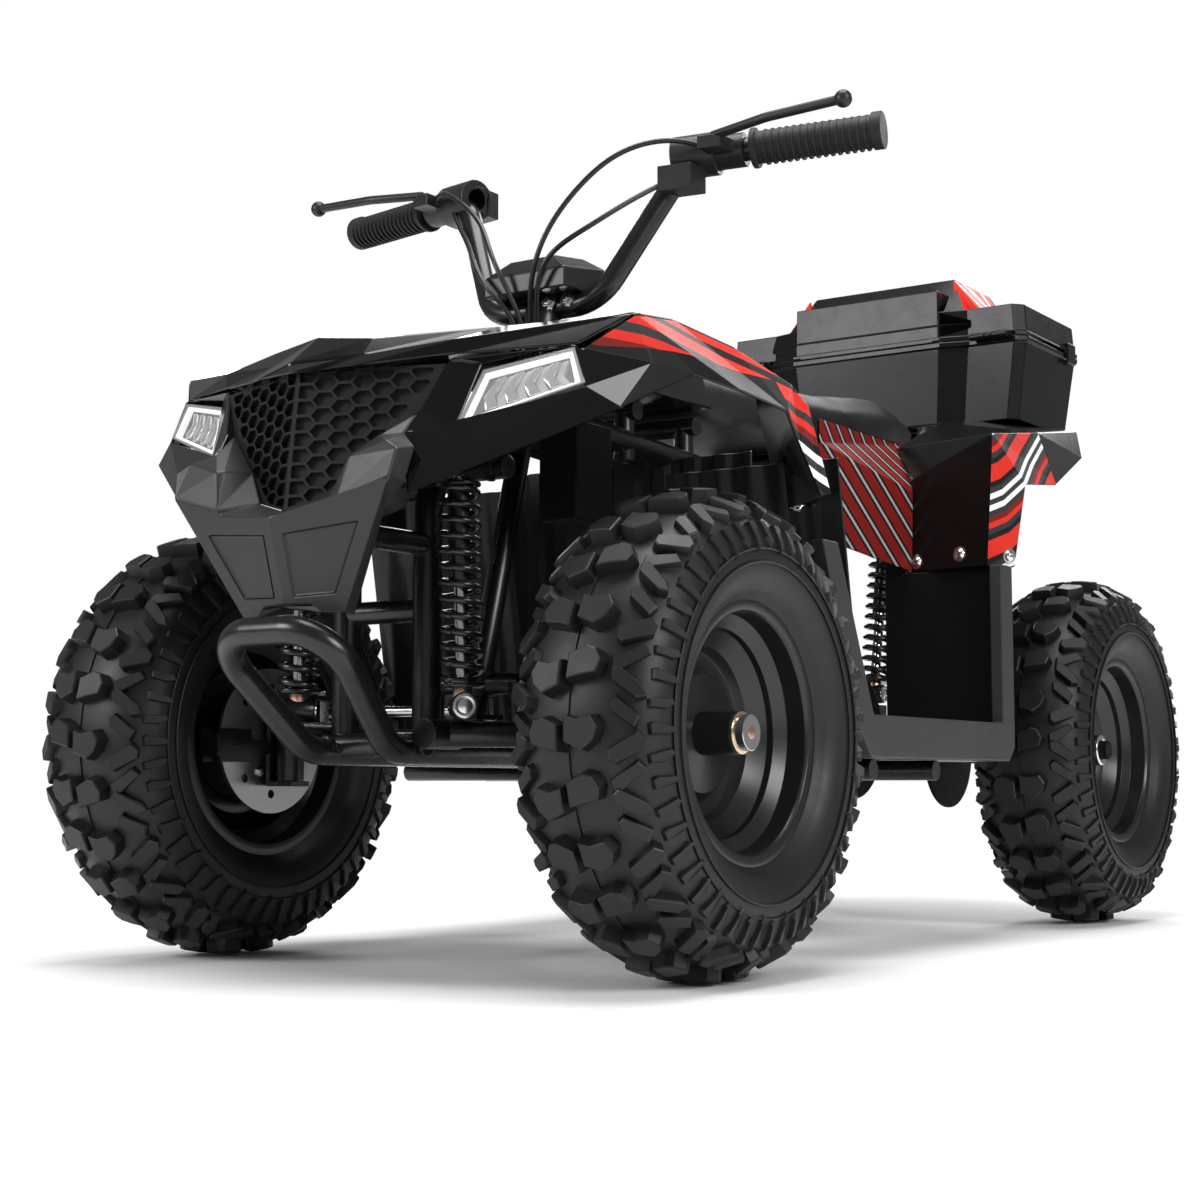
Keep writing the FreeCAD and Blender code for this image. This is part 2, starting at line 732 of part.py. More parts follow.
def column_point(share):
    """Point on the steering column, from its foot at 0 to its head at 1."""
    foot = at(0, d.ColumnFootReach, d.ColumnFootHeight)
    head = at(0, d.ColumnTopReach, d.ColumnTopHeight)
    return foot + (head - foot) * share


def handlebar():
    """Bent bar on its clamp, with the column and the pitman arm below."""
    clamp = float(d.BarTube)
    points = bar_points()
    bar = tube([mirror_point(point) for point in points[::-1]] + points, d.BarBend, d.BarTube)
    column = rod(column_point(-0.02), column_point(0.96), d.ColumnTube)
    up = (column_point(1) - column_point(0)).normalize()
    block_low = column_point(1) - up * (clamp * 1.6)
    holder = rod(block_low, column_point(1) + up * (clamp * 0.2), d.ColumnTube * 1.6)
    root = d.ColumnTube / 2
    reach = d.ColumnFootReach + d.PitmanLength - d.RodEnd * 1.2
    low = d.ColumnFootHeight - d.Plate
    corners = [at(-root, d.ColumnFootReach - root, low), at(root, d.ColumnFootReach - root, low),
               at(d.RodEnd * 0.9, reach, low), at(-d.RodEnd * 0.9, reach, low)]
    pitman = Part.Face(Part.makePolygon(corners + corners[:1])).extrude(Vector(0, 0, float(d.Plate)))
    return fuse([bar, column, holder, pitman])


def bar_points():
    """Half of the handlebar's route, from the clamp out to the grip's end."""
    top = d.ColumnTopHeight
    return [at(d.BarHalfWidth * 0.2, d.ColumnTopReach, top - d.Plate),
            at(d.BarHalfWidth * 0.43, d.ColumnTopReach + d.BarSweep * 0.55, top + d.BarRise),
            at(d.BarHalfWidth, d.ColumnTopReach + d.BarSweep, top + d.BarRise + d.Plate)]


def mirror_point(point):
    return Vector(-point.x, point.y, point.z)


def grip_way():
    points = bar_points()
    return (points[-1] - points[-2]).normalize()


def grip():
    """Ribbed rubber grip over the end of the bar."""
    way = grip_way()
    tip = bar_points()[-1]
    start = tip - way * float(d.GripLength)
    sleeve = rod(start, tip + way * float(d.Plate), d.GripDiameter)
    collar = rod(start, start + way * float(d.Plate), d.GripDiameter * 1.25)
    cap = rod(tip - way * float(d.Plate), tip + way * float(d.Plate), d.GripDiameter * 1.15)
    bore = rod(start - way * float(d.Plate), tip, d.BarTube)
    return fuse([sleeve, collar, cap]).cut(bore)


def controls(throttle):
    """Lever on its perch, with the switch or throttle case beside the grip."""
    way = grip_way()
    tip = bar_points()[-1]
    start = tip - way * float(d.GripLength + d.Plate * 1.4)
    ahead = Vector(0, -1, 0)
    up = Vector(0, 0, 1)
    width = float(d.GripDiameter)
    perch = rod(start - way * width, start, d.BarTube * 1.5)
    case = rod(start - way * width * 2.3, start - way * width * 0.9, d.BarTube * 1.9)
    arm_root = start - way * width * 0.5 + ahead * width * 1.1 + up * width * 0.2
    ball = tip + ahead * float(d.LeverReach) + up * float(d.LeverBall) * 0.6
    knee = arm_root + (ball - arm_root) * 0.45 + ahead * width * 0.25
    lever = tube([arm_root, knee, ball], d.BarBend, d.LeverThickness)
    mount = slab_between(start - way * width * 0.9, start - way * width * 0.15, ahead * width * 1.3,
                         up * width * 0.4)
    bore = rod(start - way * width * 4, tip, d.BarTube)
    parts = [perch, lever, Part.makeSphere(float(d.LeverBall) / 2, ball), mount]
    low = start - way * width * 2.3 - up * width * 0.9 + ahead * width * 0.2
    parts.append(case)
    if throttle:
        parts.append(slab_between(start - way * width * 2.4, start - way * width * 0.3, ahead * width * -1.1,
                                  up * width * 0.9))
    else:
        parts.append(slab_between(low, low + way * width * 1.1, ahead * width * 0.9, up * width * 0.8))
    return fuse(parts).cut(bore)


def slab_between(start, end, depth, height):
    """Bar of oblong section from start to end, reaching out by two more vectors."""
    base = start - height * 0.5
    corners = [base, base + depth, base + depth + height, base + height]
    face = Part.Face(Part.makePolygon(corners + corners[:1]))
    return face.extrude(end - start)


def bar_pod():
    """Faceted cover over the bar clamp."""
    half = d.PodWidth / 2
    back = d.ColumnTopReach
    low = d.ColumnTopHeight - d.Plate + d.BarTube / 2 + d.SeatClearance
    shares = {"a": (-1, -0.5, 0.0), "b": (1, -0.5, 0.0), "c": (1, 0.5, 0.0), "e": (-1, 0.5, 0.0),
              "f": (-1, -0.5, 0.45), "g": (1, -0.5, 0.45), "i": (1, 0.5, 0.7), "j": (-1, 0.5, 0.7),
              "k": (-0.55, -0.3, 0.85), "l": (0.55, -0.3, 0.85), "n": (0.55, 0.4, 1.0), "o": (-0.55, 0.4, 1.0)}
    points = scaled_points(shares, lambda x, y, z: at(half * x, back + d.PodLength * y, low + d.PodHeight * z))
    return block(points, [("a", "e", "c", "b"), ("a", "b", "g", "f"), ("b", "c", "i", "g"), ("c", "e", "j", "i"),
                          ("e", "a", "f", "j"), ("f", "g", "l", "k"), ("g", "i", "n", "l"), ("i", "j", "o", "n"),
                          ("j", "f", "k", "o"), ("k", "l", "n", "o")])


# Routes of the four control cables, from a lever's case to the head of the column, in shares
# of the bar's half width, of the column's reach and of the bar's rise above the column.
CABLE_ROUTES = [
    [(0.500, 1.187, 1.014), (0.425, 1.067, 1.040), (0.310, 0.900, 0.950), (0.190, 0.773, 0.700), (0.090, 0.700, 0.350),
     (0.030, 0.750, 0.000), (0.014, 0.810, -0.260), (0.014, 0.737, -0.620)],
    [(0.480, 1.290, 0.900), (0.420, 1.200, 0.820), (0.330, 1.000, 0.650), (0.220, 0.780, 0.420), (0.100, 0.700, 0.200),
     (0.052, 0.755, -0.060), (0.035, 0.812, -0.260), (0.034, 0.740, -0.620)],
    [(-0.500, 1.187, 1.014), (-0.440, 1.090, 1.000), (-0.330, 0.940, 0.880), (-0.180, 0.800, 0.600),
     (-0.080, 0.690, 0.240), (-0.026, 0.750, -0.060), (-0.012, 0.810, -0.260), (-0.012, 0.737, -0.620)],
    [(-0.460, 1.270, 0.920), (-0.400, 1.170, 0.760), (-0.300, 0.980, 0.560), (-0.200, 0.780, 0.340),
     (-0.110, 0.700, 0.080), (-0.050, 0.760, -0.110), (-0.034, 0.812, -0.270), (-0.033, 0.740, -0.620)]]


def control_cables(*others):
    """Brake and throttle cables, each on one smooth curve."""
    cables = []
    for shares in CABLE_ROUTES:
        points = []
        for across, back, up in shares:
            points.append(at(d.BarHalfWidth * across, d.ColumnTopReach * back, d.ColumnTopHeight + d.BarRise * up))
        curve = Part.BSplineCurve()
        curve.interpolate(points)
        section = Part.Wire(Part.makeCircle(float(d.CableDiameter) / 2, points[0], curve.tangent(curve.FirstParameter)[0]))
        cable = Part.Wire(curve.toShape()).makePipeShell([section], True, True)
        cables.append(trim(cable, *others))
    return Part.makeCompound(cables)


def steering():
    bar = handlebar()
    solid("handlebar", bar)
    twins("grips", grip())
    left = controls(False).cut(bar)
    right = mirrored(controls(True).cut(bar))
    pod = trim(bar_pod(), bar)
    solid("controls_left", left)
    solid("controls_right", right)
    solid("bar_pod", pod)
    solid("control_cables", control_cables(left, right, pod, bar))
    both_sides("tie_rod", tie_rod())


# Frame

def mirror_tubes(points, bend, diameter):
    one = tube(points, bend, diameter) if len(points) > 2 else rod(points[0], points[1], diameter)
    return [one, mirrored(one)]


def cross(back, up, half, diameter):
    return rod(at(-half, back, up), at(half, back, up), diameter)


def frame(hood, mask):
    """Welded cradle: lower rails, uprights, upper rails, cross tubes and the stays of the bodywork."""
    low = d.FrameHeight
    front = d.Plate * 2 - d.FrontShockReach
    head = d.FrontShockHead
    top = d.UpperRailHeight
    parts = []
    parts += mirror_tubes([at(rail, nose(), low), at(rail, d.SwingPivotReach, low),
                           at(rail, d.SwingPivotReach, top - d.FrameTube)], d.FrameBend, d.FrameTube)
    parts += mirror_tubes([at(rail, front, low), at(rail, front, head),
                           at(rail, d.ColumnTopReach - d.FrameTube * 2, top),
                           at(rail, d.SwingPivotReach - d.FrameBend, top - d.FrameTube),
                           at(rail, d.DeckEnd, deck_rest() - d.FrameTube / 2)], d.FrameBend, d.FrameTube)
    parts.append(cross(front + d.BraceTube, head, d.FrontShockAcross + d.EyeDiameter, d.BraceTube))
    parts.append(cross(front, (low + head) / 2, rail, d.BraceTube))
    parts.append(cross(d.DeckEnd - d.FrameTube, deck_rest() - d.FrameTube / 2, rail, d.BraceTube))
    for side in (-1, 1):
        pivot_face = (d.ArmPivotSpacing - d.ArmTube - d.RimSheet) / 2
        parts.append(cross(side * d.ArmPivotSpread / 2, low + d.Plate, pivot_face, d.BraceTube))
    for back in (d.FootFront + d.FootRailHeight, d.FootFront + d.FootRailHeight * 4.5):
        reach = d.BodyHalfWidth * 0.98 - d.FootEdge
        parts.append(cross(back, d.FootHeight - d.BraceTube / 2 - d.SeatClearance, reach, d.BraceTube))
    seat_under = d.SeatHeight - d.SeatThickness - d.SeatClearance
    for back in (d.ConsoleFront + d.FrameTube, d.SeatFront + d.FrameTube, d.SwingPivotReach - d.FrameTube * 3):
        parts += rest(back, seat_under)
    parts += rest(d.BoxFront + d.FrameTube, deck_rest())
    parts += shock_ears() + bearings() + cowl_stays(hood, mask, front, head)
    return fuse(parts)


def nose():
    """Front end of the lower rails, where the nudge bar is bolted on."""
    return -d.ArmPivotSpread / 2 - d.BraceTube / 2 - d.Plate


def deck_rest():
    """Height on which the underside of the rear deck lies."""
    return d.BoxBottom - d.SeatClearance * 2 - d.PanelThickness


def rest(back, up):
    """Cross tube on two posts that stand on the upper rails."""
    centre = up - d.BraceTube / 2
    foot = d.UpperRailHeight - d.FrameTube
    posts = mirror_tubes([at(rail, back, foot), at(rail, back, centre)], 0, d.BraceTube)
    return posts + [cross(back, centre, rail + d.BraceTube * 0.8, d.BraceTube)]


def bearings():
    """Sleeves that carry the steering column at its foot and near its head."""
    parts = []
    aside = float(rail + d.BraceTube / 5)
    span = d.ColumnTopHeight - d.ColumnFootHeight
    upper = (d.UpperRailHeight - d.FrameTube / 3 - d.ColumnFootHeight).value / span.value
    for share in (0.07, upper):
        middle = column_point(share)
        half = Vector(0, 0, float(d.ColumnTube) / 2)
        parts.append(rod(middle - half, middle + half, d.ColumnTube * 1.5))
        parts.append(rod(middle - Vector(aside, 0, 0), middle + Vector(aside, 0, 0), d.BraceTube))
    foot = column_point(0.07)
    for side in (-1, 1):
        under = Vector(side * aside, foot.y - float(d.BraceTube) / 4, float(d.FrameHeight))
        parts.append(rod(under, Vector(under.x, under.y, foot.z), d.BraceTube))
    bore = rod(column_point(-0.02), column_point(1), d.ColumnTube + d.RunningClearance * 2)
    return [part.cut(bore) for part in parts]


def cowl_stays(hood, mask, front, head):
    """Posts from the uprights to the undersides of the hood and the mask."""
    stays = []
    for side in (-1, 1):
        post = rod(at(side * rail, front, head), at(side * rail, front, d.ColumnTopHeight), d.BraceTube)
        stays.append(min(post.cut(hood).Solids, key=lambda part: part.BoundBox.ZMin))
        arm = rod(at(side * rail, front, d.TyreDiameter * 0.9), at(side * rail, -d.NoseReach, d.TyreDiameter * 0.9),
                  d.BraceTube)
        stays.append(max(arm.cut(mask).Solids, key=lambda part: part.BoundBox.YMax))
    return stays


def shock_ears():
    """Plates that hold the heads of the three dampers."""
    ears = []
    head = shock_head()
    half = float(d.EyeDiameter / 2)
    wall = float(d.Plate)
    back = Vector(0, float(d.BraceTube + d.FrameTube / 2), 0)
    for side in (-1, 1):
        for inner in (-half - wall, half):
            low = Vector(side * head.x + inner, head.y - half, head.z - half)
            ears.append(Part.makeBox(wall, back.y + half, 2 * half, low))
    end = deck_rest() - d.FrameTube / 2
    start = d.UpperRailHeight - d.FrameTube
    run = d.DeckEnd - d.SwingPivotReach + d.FrameBend
    share = (d.RearShockReach + d.RearShockLean - d.SwingPivotReach + d.FrameBend) / run.value
    top = start + (end - start) * share.value
    for inner in (-half - wall, half):
        low = at(inner, d.RearShockReach + d.RearShockLean - half, d.RearShockHead - half)
        ears.append(slab(low, at(inner + wall, d.RearShockReach + d.RearShockLean + half, top)))
    ears.append(cross(d.RearShockReach + d.RearShockLean, top, rail, d.BraceTube))
    return ears


def nudge_bar():
    """Bent loop bolted to the front of the lower rails."""
    foot = nose()
    up = d.FrameHeight
    reach = d.NoseReach - d.NudgeTube / 2
    half_loop = tube([at(rail, foot, up), at(rail, foot - d.NudgeBend * 0.5, up),
                      at(d.NudgeHalfWidth, -reach, nudge_top), at(0, -reach, nudge_top)],
                     d.NudgeBend, d.NudgeTube)
    return fuse([half_loop, mirrored(half_loop)])


def swingarm():
    """Rear fork from its pivot tube to the axle carrier."""
    up = d.SwingPivotHeight
    pivot = rod(at(-rail + d.FrameTube / 2, d.SwingPivotReach, up), at(rail - d.FrameTube / 2, d.SwingPivotReach, up),
                d.FrameTube + d.Plate)
    half = d.CarrierLength / 2
    carrier = rod(at(-half, d.Wheelbase, wheel_radius), at(half, d.Wheelbase, wheel_radius), d.CarrierDiameter)
    bore = rod(at(-half * 2, d.Wheelbase, wheel_radius), at(half * 2, d.Wheelbase, wheel_radius),
               d.AxleDiameter + d.RunningClearance * 2)
    arms = []
    inner = rail - d.FrameTube * 1.1
    for side in (-1, 1):
        arms.append(rod(at(side * inner, d.SwingPivotReach, up), at(side * rail, d.Wheelbase, wheel_radius),
                        d.FrameTube))
    lug = slab(at(-d.EyeDiameter / 4, d.RearShockReach - d.EyeDiameter, wheel_radius + d.CarrierDiameter * 0.3),
               at(d.EyeDiameter / 4, d.RearShockReach + d.EyeDiameter, d.RearShockFoot - d.EyeDiameter * 0.55))
    return fuse([pivot, carrier, lug] + arms).cut(bore)


def engine():
    """Crankcase with its side covers and the cylinder in front of it."""
    body = slab(at(-d.EngineHalf, d.EngineFront, d.FrameHeight + d.FrameTube / 2 + d.SeatClearance),
                at(d.EngineHalf, d.EngineFront + d.EngineLength, d.FrameHeight + d.EngineHeight))
    centre = d.EngineFront + d.EngineLength - d.EngineCover / 2
    cover = rod(at(-d.EngineWidth / 2, centre, d.EngineCover / 2 + d.CoverHeight),
                at(d.EngineWidth / 2, centre, d.EngineCover / 2 + d.CoverHeight), d.EngineCover)
    core = slab(at(-rail - d.FrameTube * 0.6, centre - d.EngineCover, 0),
                at(rail + d.FrameTube * 0.6, centre + d.EngineCover, d.FrameHeight + d.FrameTube * 0.6))
    return fuse([body, cover.cut(core)])


# Bodywork of the front half

def front_point(across, back, up):
    """Shares of the body's half width, its reach ahead of the axle and its rise above the tyres."""
    return at(d.BodyHalfWidth * across, d.BodyReach * back, d.TyreDiameter + d.BodyRise * up)


def with_mirror(shares):
    """Adds the right-hand twin of every point that lies off the middle."""
    both = dict(shares)
    for name, (across, back, up) in shares.items():
        if across:
            both[f"-{name}"] = (-across, back, up)
    return both


def twin_loops(loops, shares):
    """The same loops on the right-hand side, turned to face outwards."""
    return [tuple(f"-{name}" if shares[name][0] else name for name in names[::-1]) for names in loops]


LAMP_SHARES = {
    "lamp inner low": (0.450, -0.683, 0.280), "lamp inner top": (0.487, -0.588, 0.607),
    "lamp outer top": (0.727, -0.479, 0.707), "lamp outer low": (0.773, -0.500, 0.500)}

HOOD_SHARES = {
    "lip": (0, -0.875, 0.616), "lip bend": (0.180, -0.820, 0.630), "lip corner": (0.411, -0.662, 0.685),
    "crease": (0, -0.886, 0.67), "crease bend": (0.180, -0.763, 0.712), "crease corner": (0.428, -0.642, 0.776),
    "brow": (0.727, -0.460, 0.730), "shoulder": (0.840, -0.325, 0.913),
    "hump": (0, -0.740, 0.860), "hump side": (0.183, -0.712, 0.820), "flank": (0.420, -0.450, 0.900),
    "top": (0, 0.000, 1.090), "top side": (0.210, 0.000, 1.060), "top flank": (0.500, 0.000, 1.050),
    "top edge": (0.800, 0.000, 0.990),
    "rear": (0, 0.400, 1.190), "rear side": (0.210, 0.400, 1.180), "rear flank": (0.500, 0.480, 1.130),
    "rear edge": (0.720, 0.480, 1.000), "tail": (0, 0.810, 1.230), "tail side": (0.170, 0.810, 1.220),
    "tail flank": (0.320, 0.810, 1.000), "inner lip": (0, -0.680, 0.620), "inner corner": (0.395, -0.620, 0.640)}

HOOD_LOOPS = [
    ("lip", "inner lip", "inner corner", "lip corner", "lip bend"),
    ("lip", "lip bend", "crease bend", "crease"), ("lip bend", "lip corner", "crease corner", "crease bend"),
    ("crease", "crease bend", "hump side", "hump"), ("crease bend", "crease corner", "flank", "hump side"),
    ("lip corner", "brow", "shoulder", "crease corner"), ("crease corner", "shoulder", "flank"),
    ("hump", "hump side", "top side", "top"),
    ("hump side", "flank", "top flank", "top side"), ("flank", "shoulder", "top edge", "top flank"),
    ("top", "top side", "rear side", "rear"), ("top side", "top flank", "rear flank", "rear side"),
    ("top flank", "top edge", "rear edge", "rear flank"), ("rear", "rear side", "tail side", "tail"),
    ("rear side", "rear flank", "tail flank", "tail side")]

FENDER_SHARES = {
    "lip corner": (0.417, -0.650, 0.665), "mesh top": (0.403, -0.657, 0.640), "mesh side": (0.360, -0.722, 0.387),
    "arm top": (0.345, -0.790, 0.240),
    "lamp inner low": (0.450, -0.683, 0.260), "lamp inner top": (0.485, -0.588, 0.640),
    "lamp outer top": (0.727, -0.479, 0.720), "lamp outer low": (0.773, -0.500, 0.470),
    "brow": (0.740, -0.452, 0.700),
    "arm foot": (0.405, -0.860, -0.110), "arm back": (0.430, -0.760, -0.060),
    "shoulder": (0.843, -0.322, 0.900), "corner": (0.873, -0.275, 0.640), "tip": (0.863, -0.454, 0.350),
    "top one": (0.810, 0.005, 0.975), "top two": (0.870, 0.270, 0.890), "top three": (0.945, 0.540, 0.720),
    "top four": (0.965, 0.625, 0.610), "top five": (0.985, 0.750, 0.107),
    "low one": (0.930, -0.120, 0.607), "low two": (0.975, 0.095, 0.567), "low three": (0.985, 0.415, 0.527),
    "low four": (0.985, 0.508, 0.353), "low five": (0.985, 0.670, 0.080),
    "inner one": (0.730, 0.490, 0.985), "inner two": (0.700, 0.800, 0.850), "inner three": (0.690, 0.960, 0.400),
    "inner four": (0.690, 1.000, 0.060)}

FENDER_LOOPS = [
    ("lip corner", "mesh top", "lamp inner top"), ("mesh top", "mesh side", "lamp inner low", "lamp inner top"),
    ("mesh side", "arm top", "lamp inner low"),
    ("lip corner", "lamp inner top", "lamp outer top", "brow"), ("brow", "lamp outer top", "lamp outer low", "corner"),
    ("lamp outer low", "tip", "corner"), ("brow", "corner", "shoulder"),
    ("lamp outer low", "lamp inner low", "arm top", "arm foot", "tip"), ("tip", "arm foot", "arm back"),
    ("shoulder", "corner", "low one"), ("corner", "tip", "low one"), ("shoulder", "low one", "low two", "top one"),
    ("top one", "low two", "low three", "top two"), ("top two", "low three", "top three"),
    ("top three", "low three", "low four", "top four"), ("top four", "low four", "low five", "top five"),
    ("top one", "top two", "inner one"), ("inner one", "top two", "top three", "inner two"),
    ("inner two", "top three", "top four", "inner three"), ("inner three", "top four", "top five", "inner four")]

MASK_SHARES = {
    "tusk outer": (0.404, -0.916, 0.121), "tusk peak": (0.356, -0.902, 0.175), "tusk inner": (0.241, -0.921, 0.100),
    "tusk root": (0.216, -0.948, -0.123), "cheek": (0.392, -0.937, -0.027),
    "notch": (0.210, -0.944, -0.150), "notch middle": (0, -0.978, -0.194),
    "foot": (0.183, -0.846, -0.720), "foot middle": (0, -0.888, -0.706),
    "ledge peak": (0.300, -0.850, 0.225), "ledge inner": (0.228, -0.900, 0.110), "arm top": (0.345, -0.790, 0.240),
    "mesh side": (0.340, -0.705, 0.380), "mesh low": (0.200, -0.790, 0.120), "mesh foot": (0.125, -0.850, -0.080),
    "mesh tip": (0, -0.900, -0.150), "side outer": (0.413, -0.833, 0.146), "side cheek": (0.390, -0.850, -0.050),
    "side low": (0.318, -0.850, -0.200), "side foot": (0.165, -0.770, -0.720)}

MASK_LOOPS = [
    ("tusk outer", "tusk peak", "tusk inner", "tusk root", "cheek"),
    ("cheek", "tusk root", "notch", "notch middle", "foot middle", "foot"),
    ("tusk peak", "ledge peak", "ledge inner", "tusk inner"),
    ("tusk inner", "ledge inner", "mesh low", "mesh foot", "tusk root"),
    ("tusk root", "mesh foot", "mesh tip", "notch middle", "notch"),
    ("ledge peak", "mesh side", "mesh low", "ledge inner"),
    ("tusk peak", "tusk outer", "side outer", "arm top", "ledge peak"), ("ledge peak", "arm top", "mesh side"),
    ("tusk outer", "cheek", "side cheek", "side outer"), ("cheek", "foot", "side foot", "side low", "side cheek")]

# Corners of the shallow panels pressed into the mask, seen from the front.
RECESS_SHARES = [(0.272, -0.250), (0.165, -0.610), (0.037, -0.620), (0.037, -0.290)]
ARCH_SHARES = [(0.125, -0.820), (0.125, -0.730), (0.085, -0.665)]

GRILLE_SHARES = {
    "top": (0, -0.840, 0.640), "top corner": (0.405, -0.655, 0.640), "middle": (0.362, -0.720, 0.387),
    "low": (0.225, -0.810, 0.130), "low foot": (0.150, -0.865, -0.070), "foot": (0, -0.900, -0.150)}


def front_panel(shares, loops, whole):
    points = scaled_points(with_mirror(shares), front_point)
    every = loops + twin_loops(loops, shares) if whole else loops
    return panel(points, every, d.PanelThickness)


def lamp():
    """Closed lamp body behind its clear lens."""
    points = scaled_points(LAMP_SHARES, front_point)
    face = [points[name] for name in LAMP_SHARES]
    centre = (face[0] + face[1] + face[2] + face[3]) * 0.25
    inset = [centre + (point - centre) * 1.02 for point in face]
    named = {}
    back = Vector(0, float(d.LampDepth), 0)
    for number, point in enumerate(inset):
        named[f"front {number}"] = point
        named[f"back {number}"] = centre + (point - centre) * 0.7 + back
    sides = [(f"front {n}", f"front {(n + 1) % 4}", f"back {(n + 1) % 4}", f"back {n}") for n in range(4)]
    return block(named, [("front 0", "front 1", "front 2", "front 3"),
                         ("back 3", "back 2", "back 1", "back 0")] + sides)


def grille():
    """Two leaves that meet at the prow, with rows of six-sided pockets in front of a closed back."""
    points = scaled_points(GRILLE_SHARES, front_point)
    corner = points["top corner"]
    across = (corner - points["top"]).normalize()
    down = (points["foot"] - points["top"]).normalize()
    normal = across.cross(down).normalize()
    if normal.y < 0:
        normal = -normal
    loop = [point - normal * (point - corner).dot(normal) for point in points.values()]
    leaf = Part.Face(Part.makePolygon(loop + loop[:1])).extrude(normal * float(d.GrilleDepth))
    middle = slab(Vector(-d.TyreDiameter.value, loop[0].y - d.TyreDiameter.value, 0),
                  Vector(0, loop[0].y + d.TyreDiameter.value, d.TyreDiameter.value * 2))
    leaf = leaf.cut(middle)
    cells = []
    wide = float(d.GrilleCell) / 2
    high = wide * 0.56
    pitch = float(d.GrilleCell + d.GrilleBar) * 0.75
    rise = 2 * high + float(d.GrilleBar)
    sunk = normal * float(d.GrilleDepth - d.PanelThickness)
    rows = math.ceil((loop[0] - loop[-1]).Length / rise) + 1
    columns = math.ceil((corner - loop[0]).Length / pitch) + 1
    for column in range(columns):
        for row in range(rows):
            centre = loop[0] + across * pitch * (column + 0.5) + down * rise * (row + 0.35 + column % 2 / 2)
            shares = [(1, 0), (0.5, 1), (-0.5, 1), (-1, 0), (-0.5, -1), (0.5, -1)]
            ring_points = [centre + across * wide * x + down * high * y for x, y in shares]
            cell = clipped(ring_points, loop, normal, d.GrilleBar)
            if len(cell) > 2 and flat_face(cell).Area > (wide * high):
                cells.append(flat_face(cell).extrude(sunk))
    return leaf.cut(cells)


def clipped(shape, loop, normal, rim_width):
    """What is left of a flat shape inside a flat convex loop less a rim."""
    middle = sum(loop, Vector()) * (1 / len(loop))
    for start, end in zip(loop, loop[1:] + loop[:1]):
        inward = normal.cross(end - start).normalize()
        if inward.dot(middle - start) < 0:
            inward = -inward
        depths = [inward.dot(point - start) - float(rim_width) for point in shape]
        kept = []
        for one, two, near, far in zip(shape, shape[1:] + shape[:1], depths, depths[1:] + depths[:1]):
            if near >= 0:
                kept.append(one)
            if near * far < 0:
                kept.append(one + (two - one) * (near / (near - far)))
        shape = kept
    return shape


def pressed(mask):
    """The mask with its two shallow panels, and the arch cut out of its lower edge."""
    wall = d.PanelThickness * 0.4
    tools = []
    for side in (-1, 1):
        tools.append(front_prism([(side * across, up) for across, up in RECESS_SHARES]))
    sunk = mask.copy()
    sunk.translate(Vector(0, float(wall), 0))
    arch = front_prism(ARCH_SHARES + [(-across, up) for across, up in ARCH_SHARES[::-1]])
    return mask.cut([tool.cut(sunk) for tool in tools] + [arch])


def front_prism(shares):
    """Prism along the vehicle through an outline seen from the front."""
    loop = [front_point(across, -1.5, up) for across, up in shares]
    return flat_face(loop).extrude(Vector(0, float(d.BodyReach), 0))


def front_body():
    """Makes the cowl, and gives back the hood and mask that the frame's stays run up to."""
    column_hole = rod(column_point(0.5), column_point(1.1), d.ColumnTube * 2.6)
    hood = trim(front_panel(HOOD_SHARES, HOOD_LOOPS, True), column_hole)
    fender = front_panel(FENDER_SHARES, FENDER_LOOPS, False)
    mask = front_panel(MASK_SHARES, MASK_LOOPS, True)
    fender = trim(fender, hood)
    mask = trim(mask, fender, mirrored(fender))
    around = (hood, mask, fender, mirrored(fender))
    leaf = grille()
    mesh = trim(fuse([leaf, mirrored(leaf)]), *around)
    solid("hood", hood)
    both_sides("front_fender", fender)
    solid("front_mask", pressed(mask))
    solid("grille", mesh)
    lamps = [trim(shape, *around, mesh) for shape in (lamp(), mirrored(lamp()))]
    solid("headlights", Part.makeCompound(lamps))
    return hood, mask


# Seat, sides and footwells

def seat():
    """Saddle cushion: narrow at its nose, broad and a little raised at the rear."""
    shares = [(0.00, 0.60, 0.78), (0.22, 0.66, 0.74), (0.55, 0.90, 0.80), (0.82, 1.00, 1.00), (1.00, 0.92, 0.92)]
    rings = []
    for along, wide, high in shares:
        half = d.SeatHalfWidth * wide
        back = d.SeatFront + d.SeatLength * along
        low = d.SeatHeight - d.SeatThickness
        top = low + d.SeatThickness * high
        edge = low + d.SeatThickness * high * 0.62
        rings.append([at(half * 0.94, back, low), at(half, back, edge), at(half * 0.8, back, top),
                      at(-half * 0.8, back, top), at(-half, back, edge), at(-half * 0.94, back, low)])
    wires = [Part.makePolygon(corners + corners[:1]) for corners in rings]
    solid("seat", Part.makeLoft(wires, True, True))


SIDE_SHARES = {
    "front top": (0.467, 0.00, 0.78), "front low": (0.467, 0.02, 0.10), "rear low": (0.600, 0.92, -0.08),
    "rear top": (0.600, 0.90, 0.52), "under seat rear": (0.467, 1.30, 0.95), "under seat front": (0.467, 0.00, 0.95)}


def side_point(across, back, up):
    return at(d.BodyHalfWidth * across, d.SidePanelFront + d.SidePanelLength * back,
              d.TyreDiameter + d.BodyRise * up)


def side_panel():
    points = scaled_points(SIDE_SHARES, side_point)
    return panel(points, [("front top", "front low", "rear low", "rear top"),
                          ("front top", "rear top", "under seat rear", "under seat front")], d.PanelThickness)


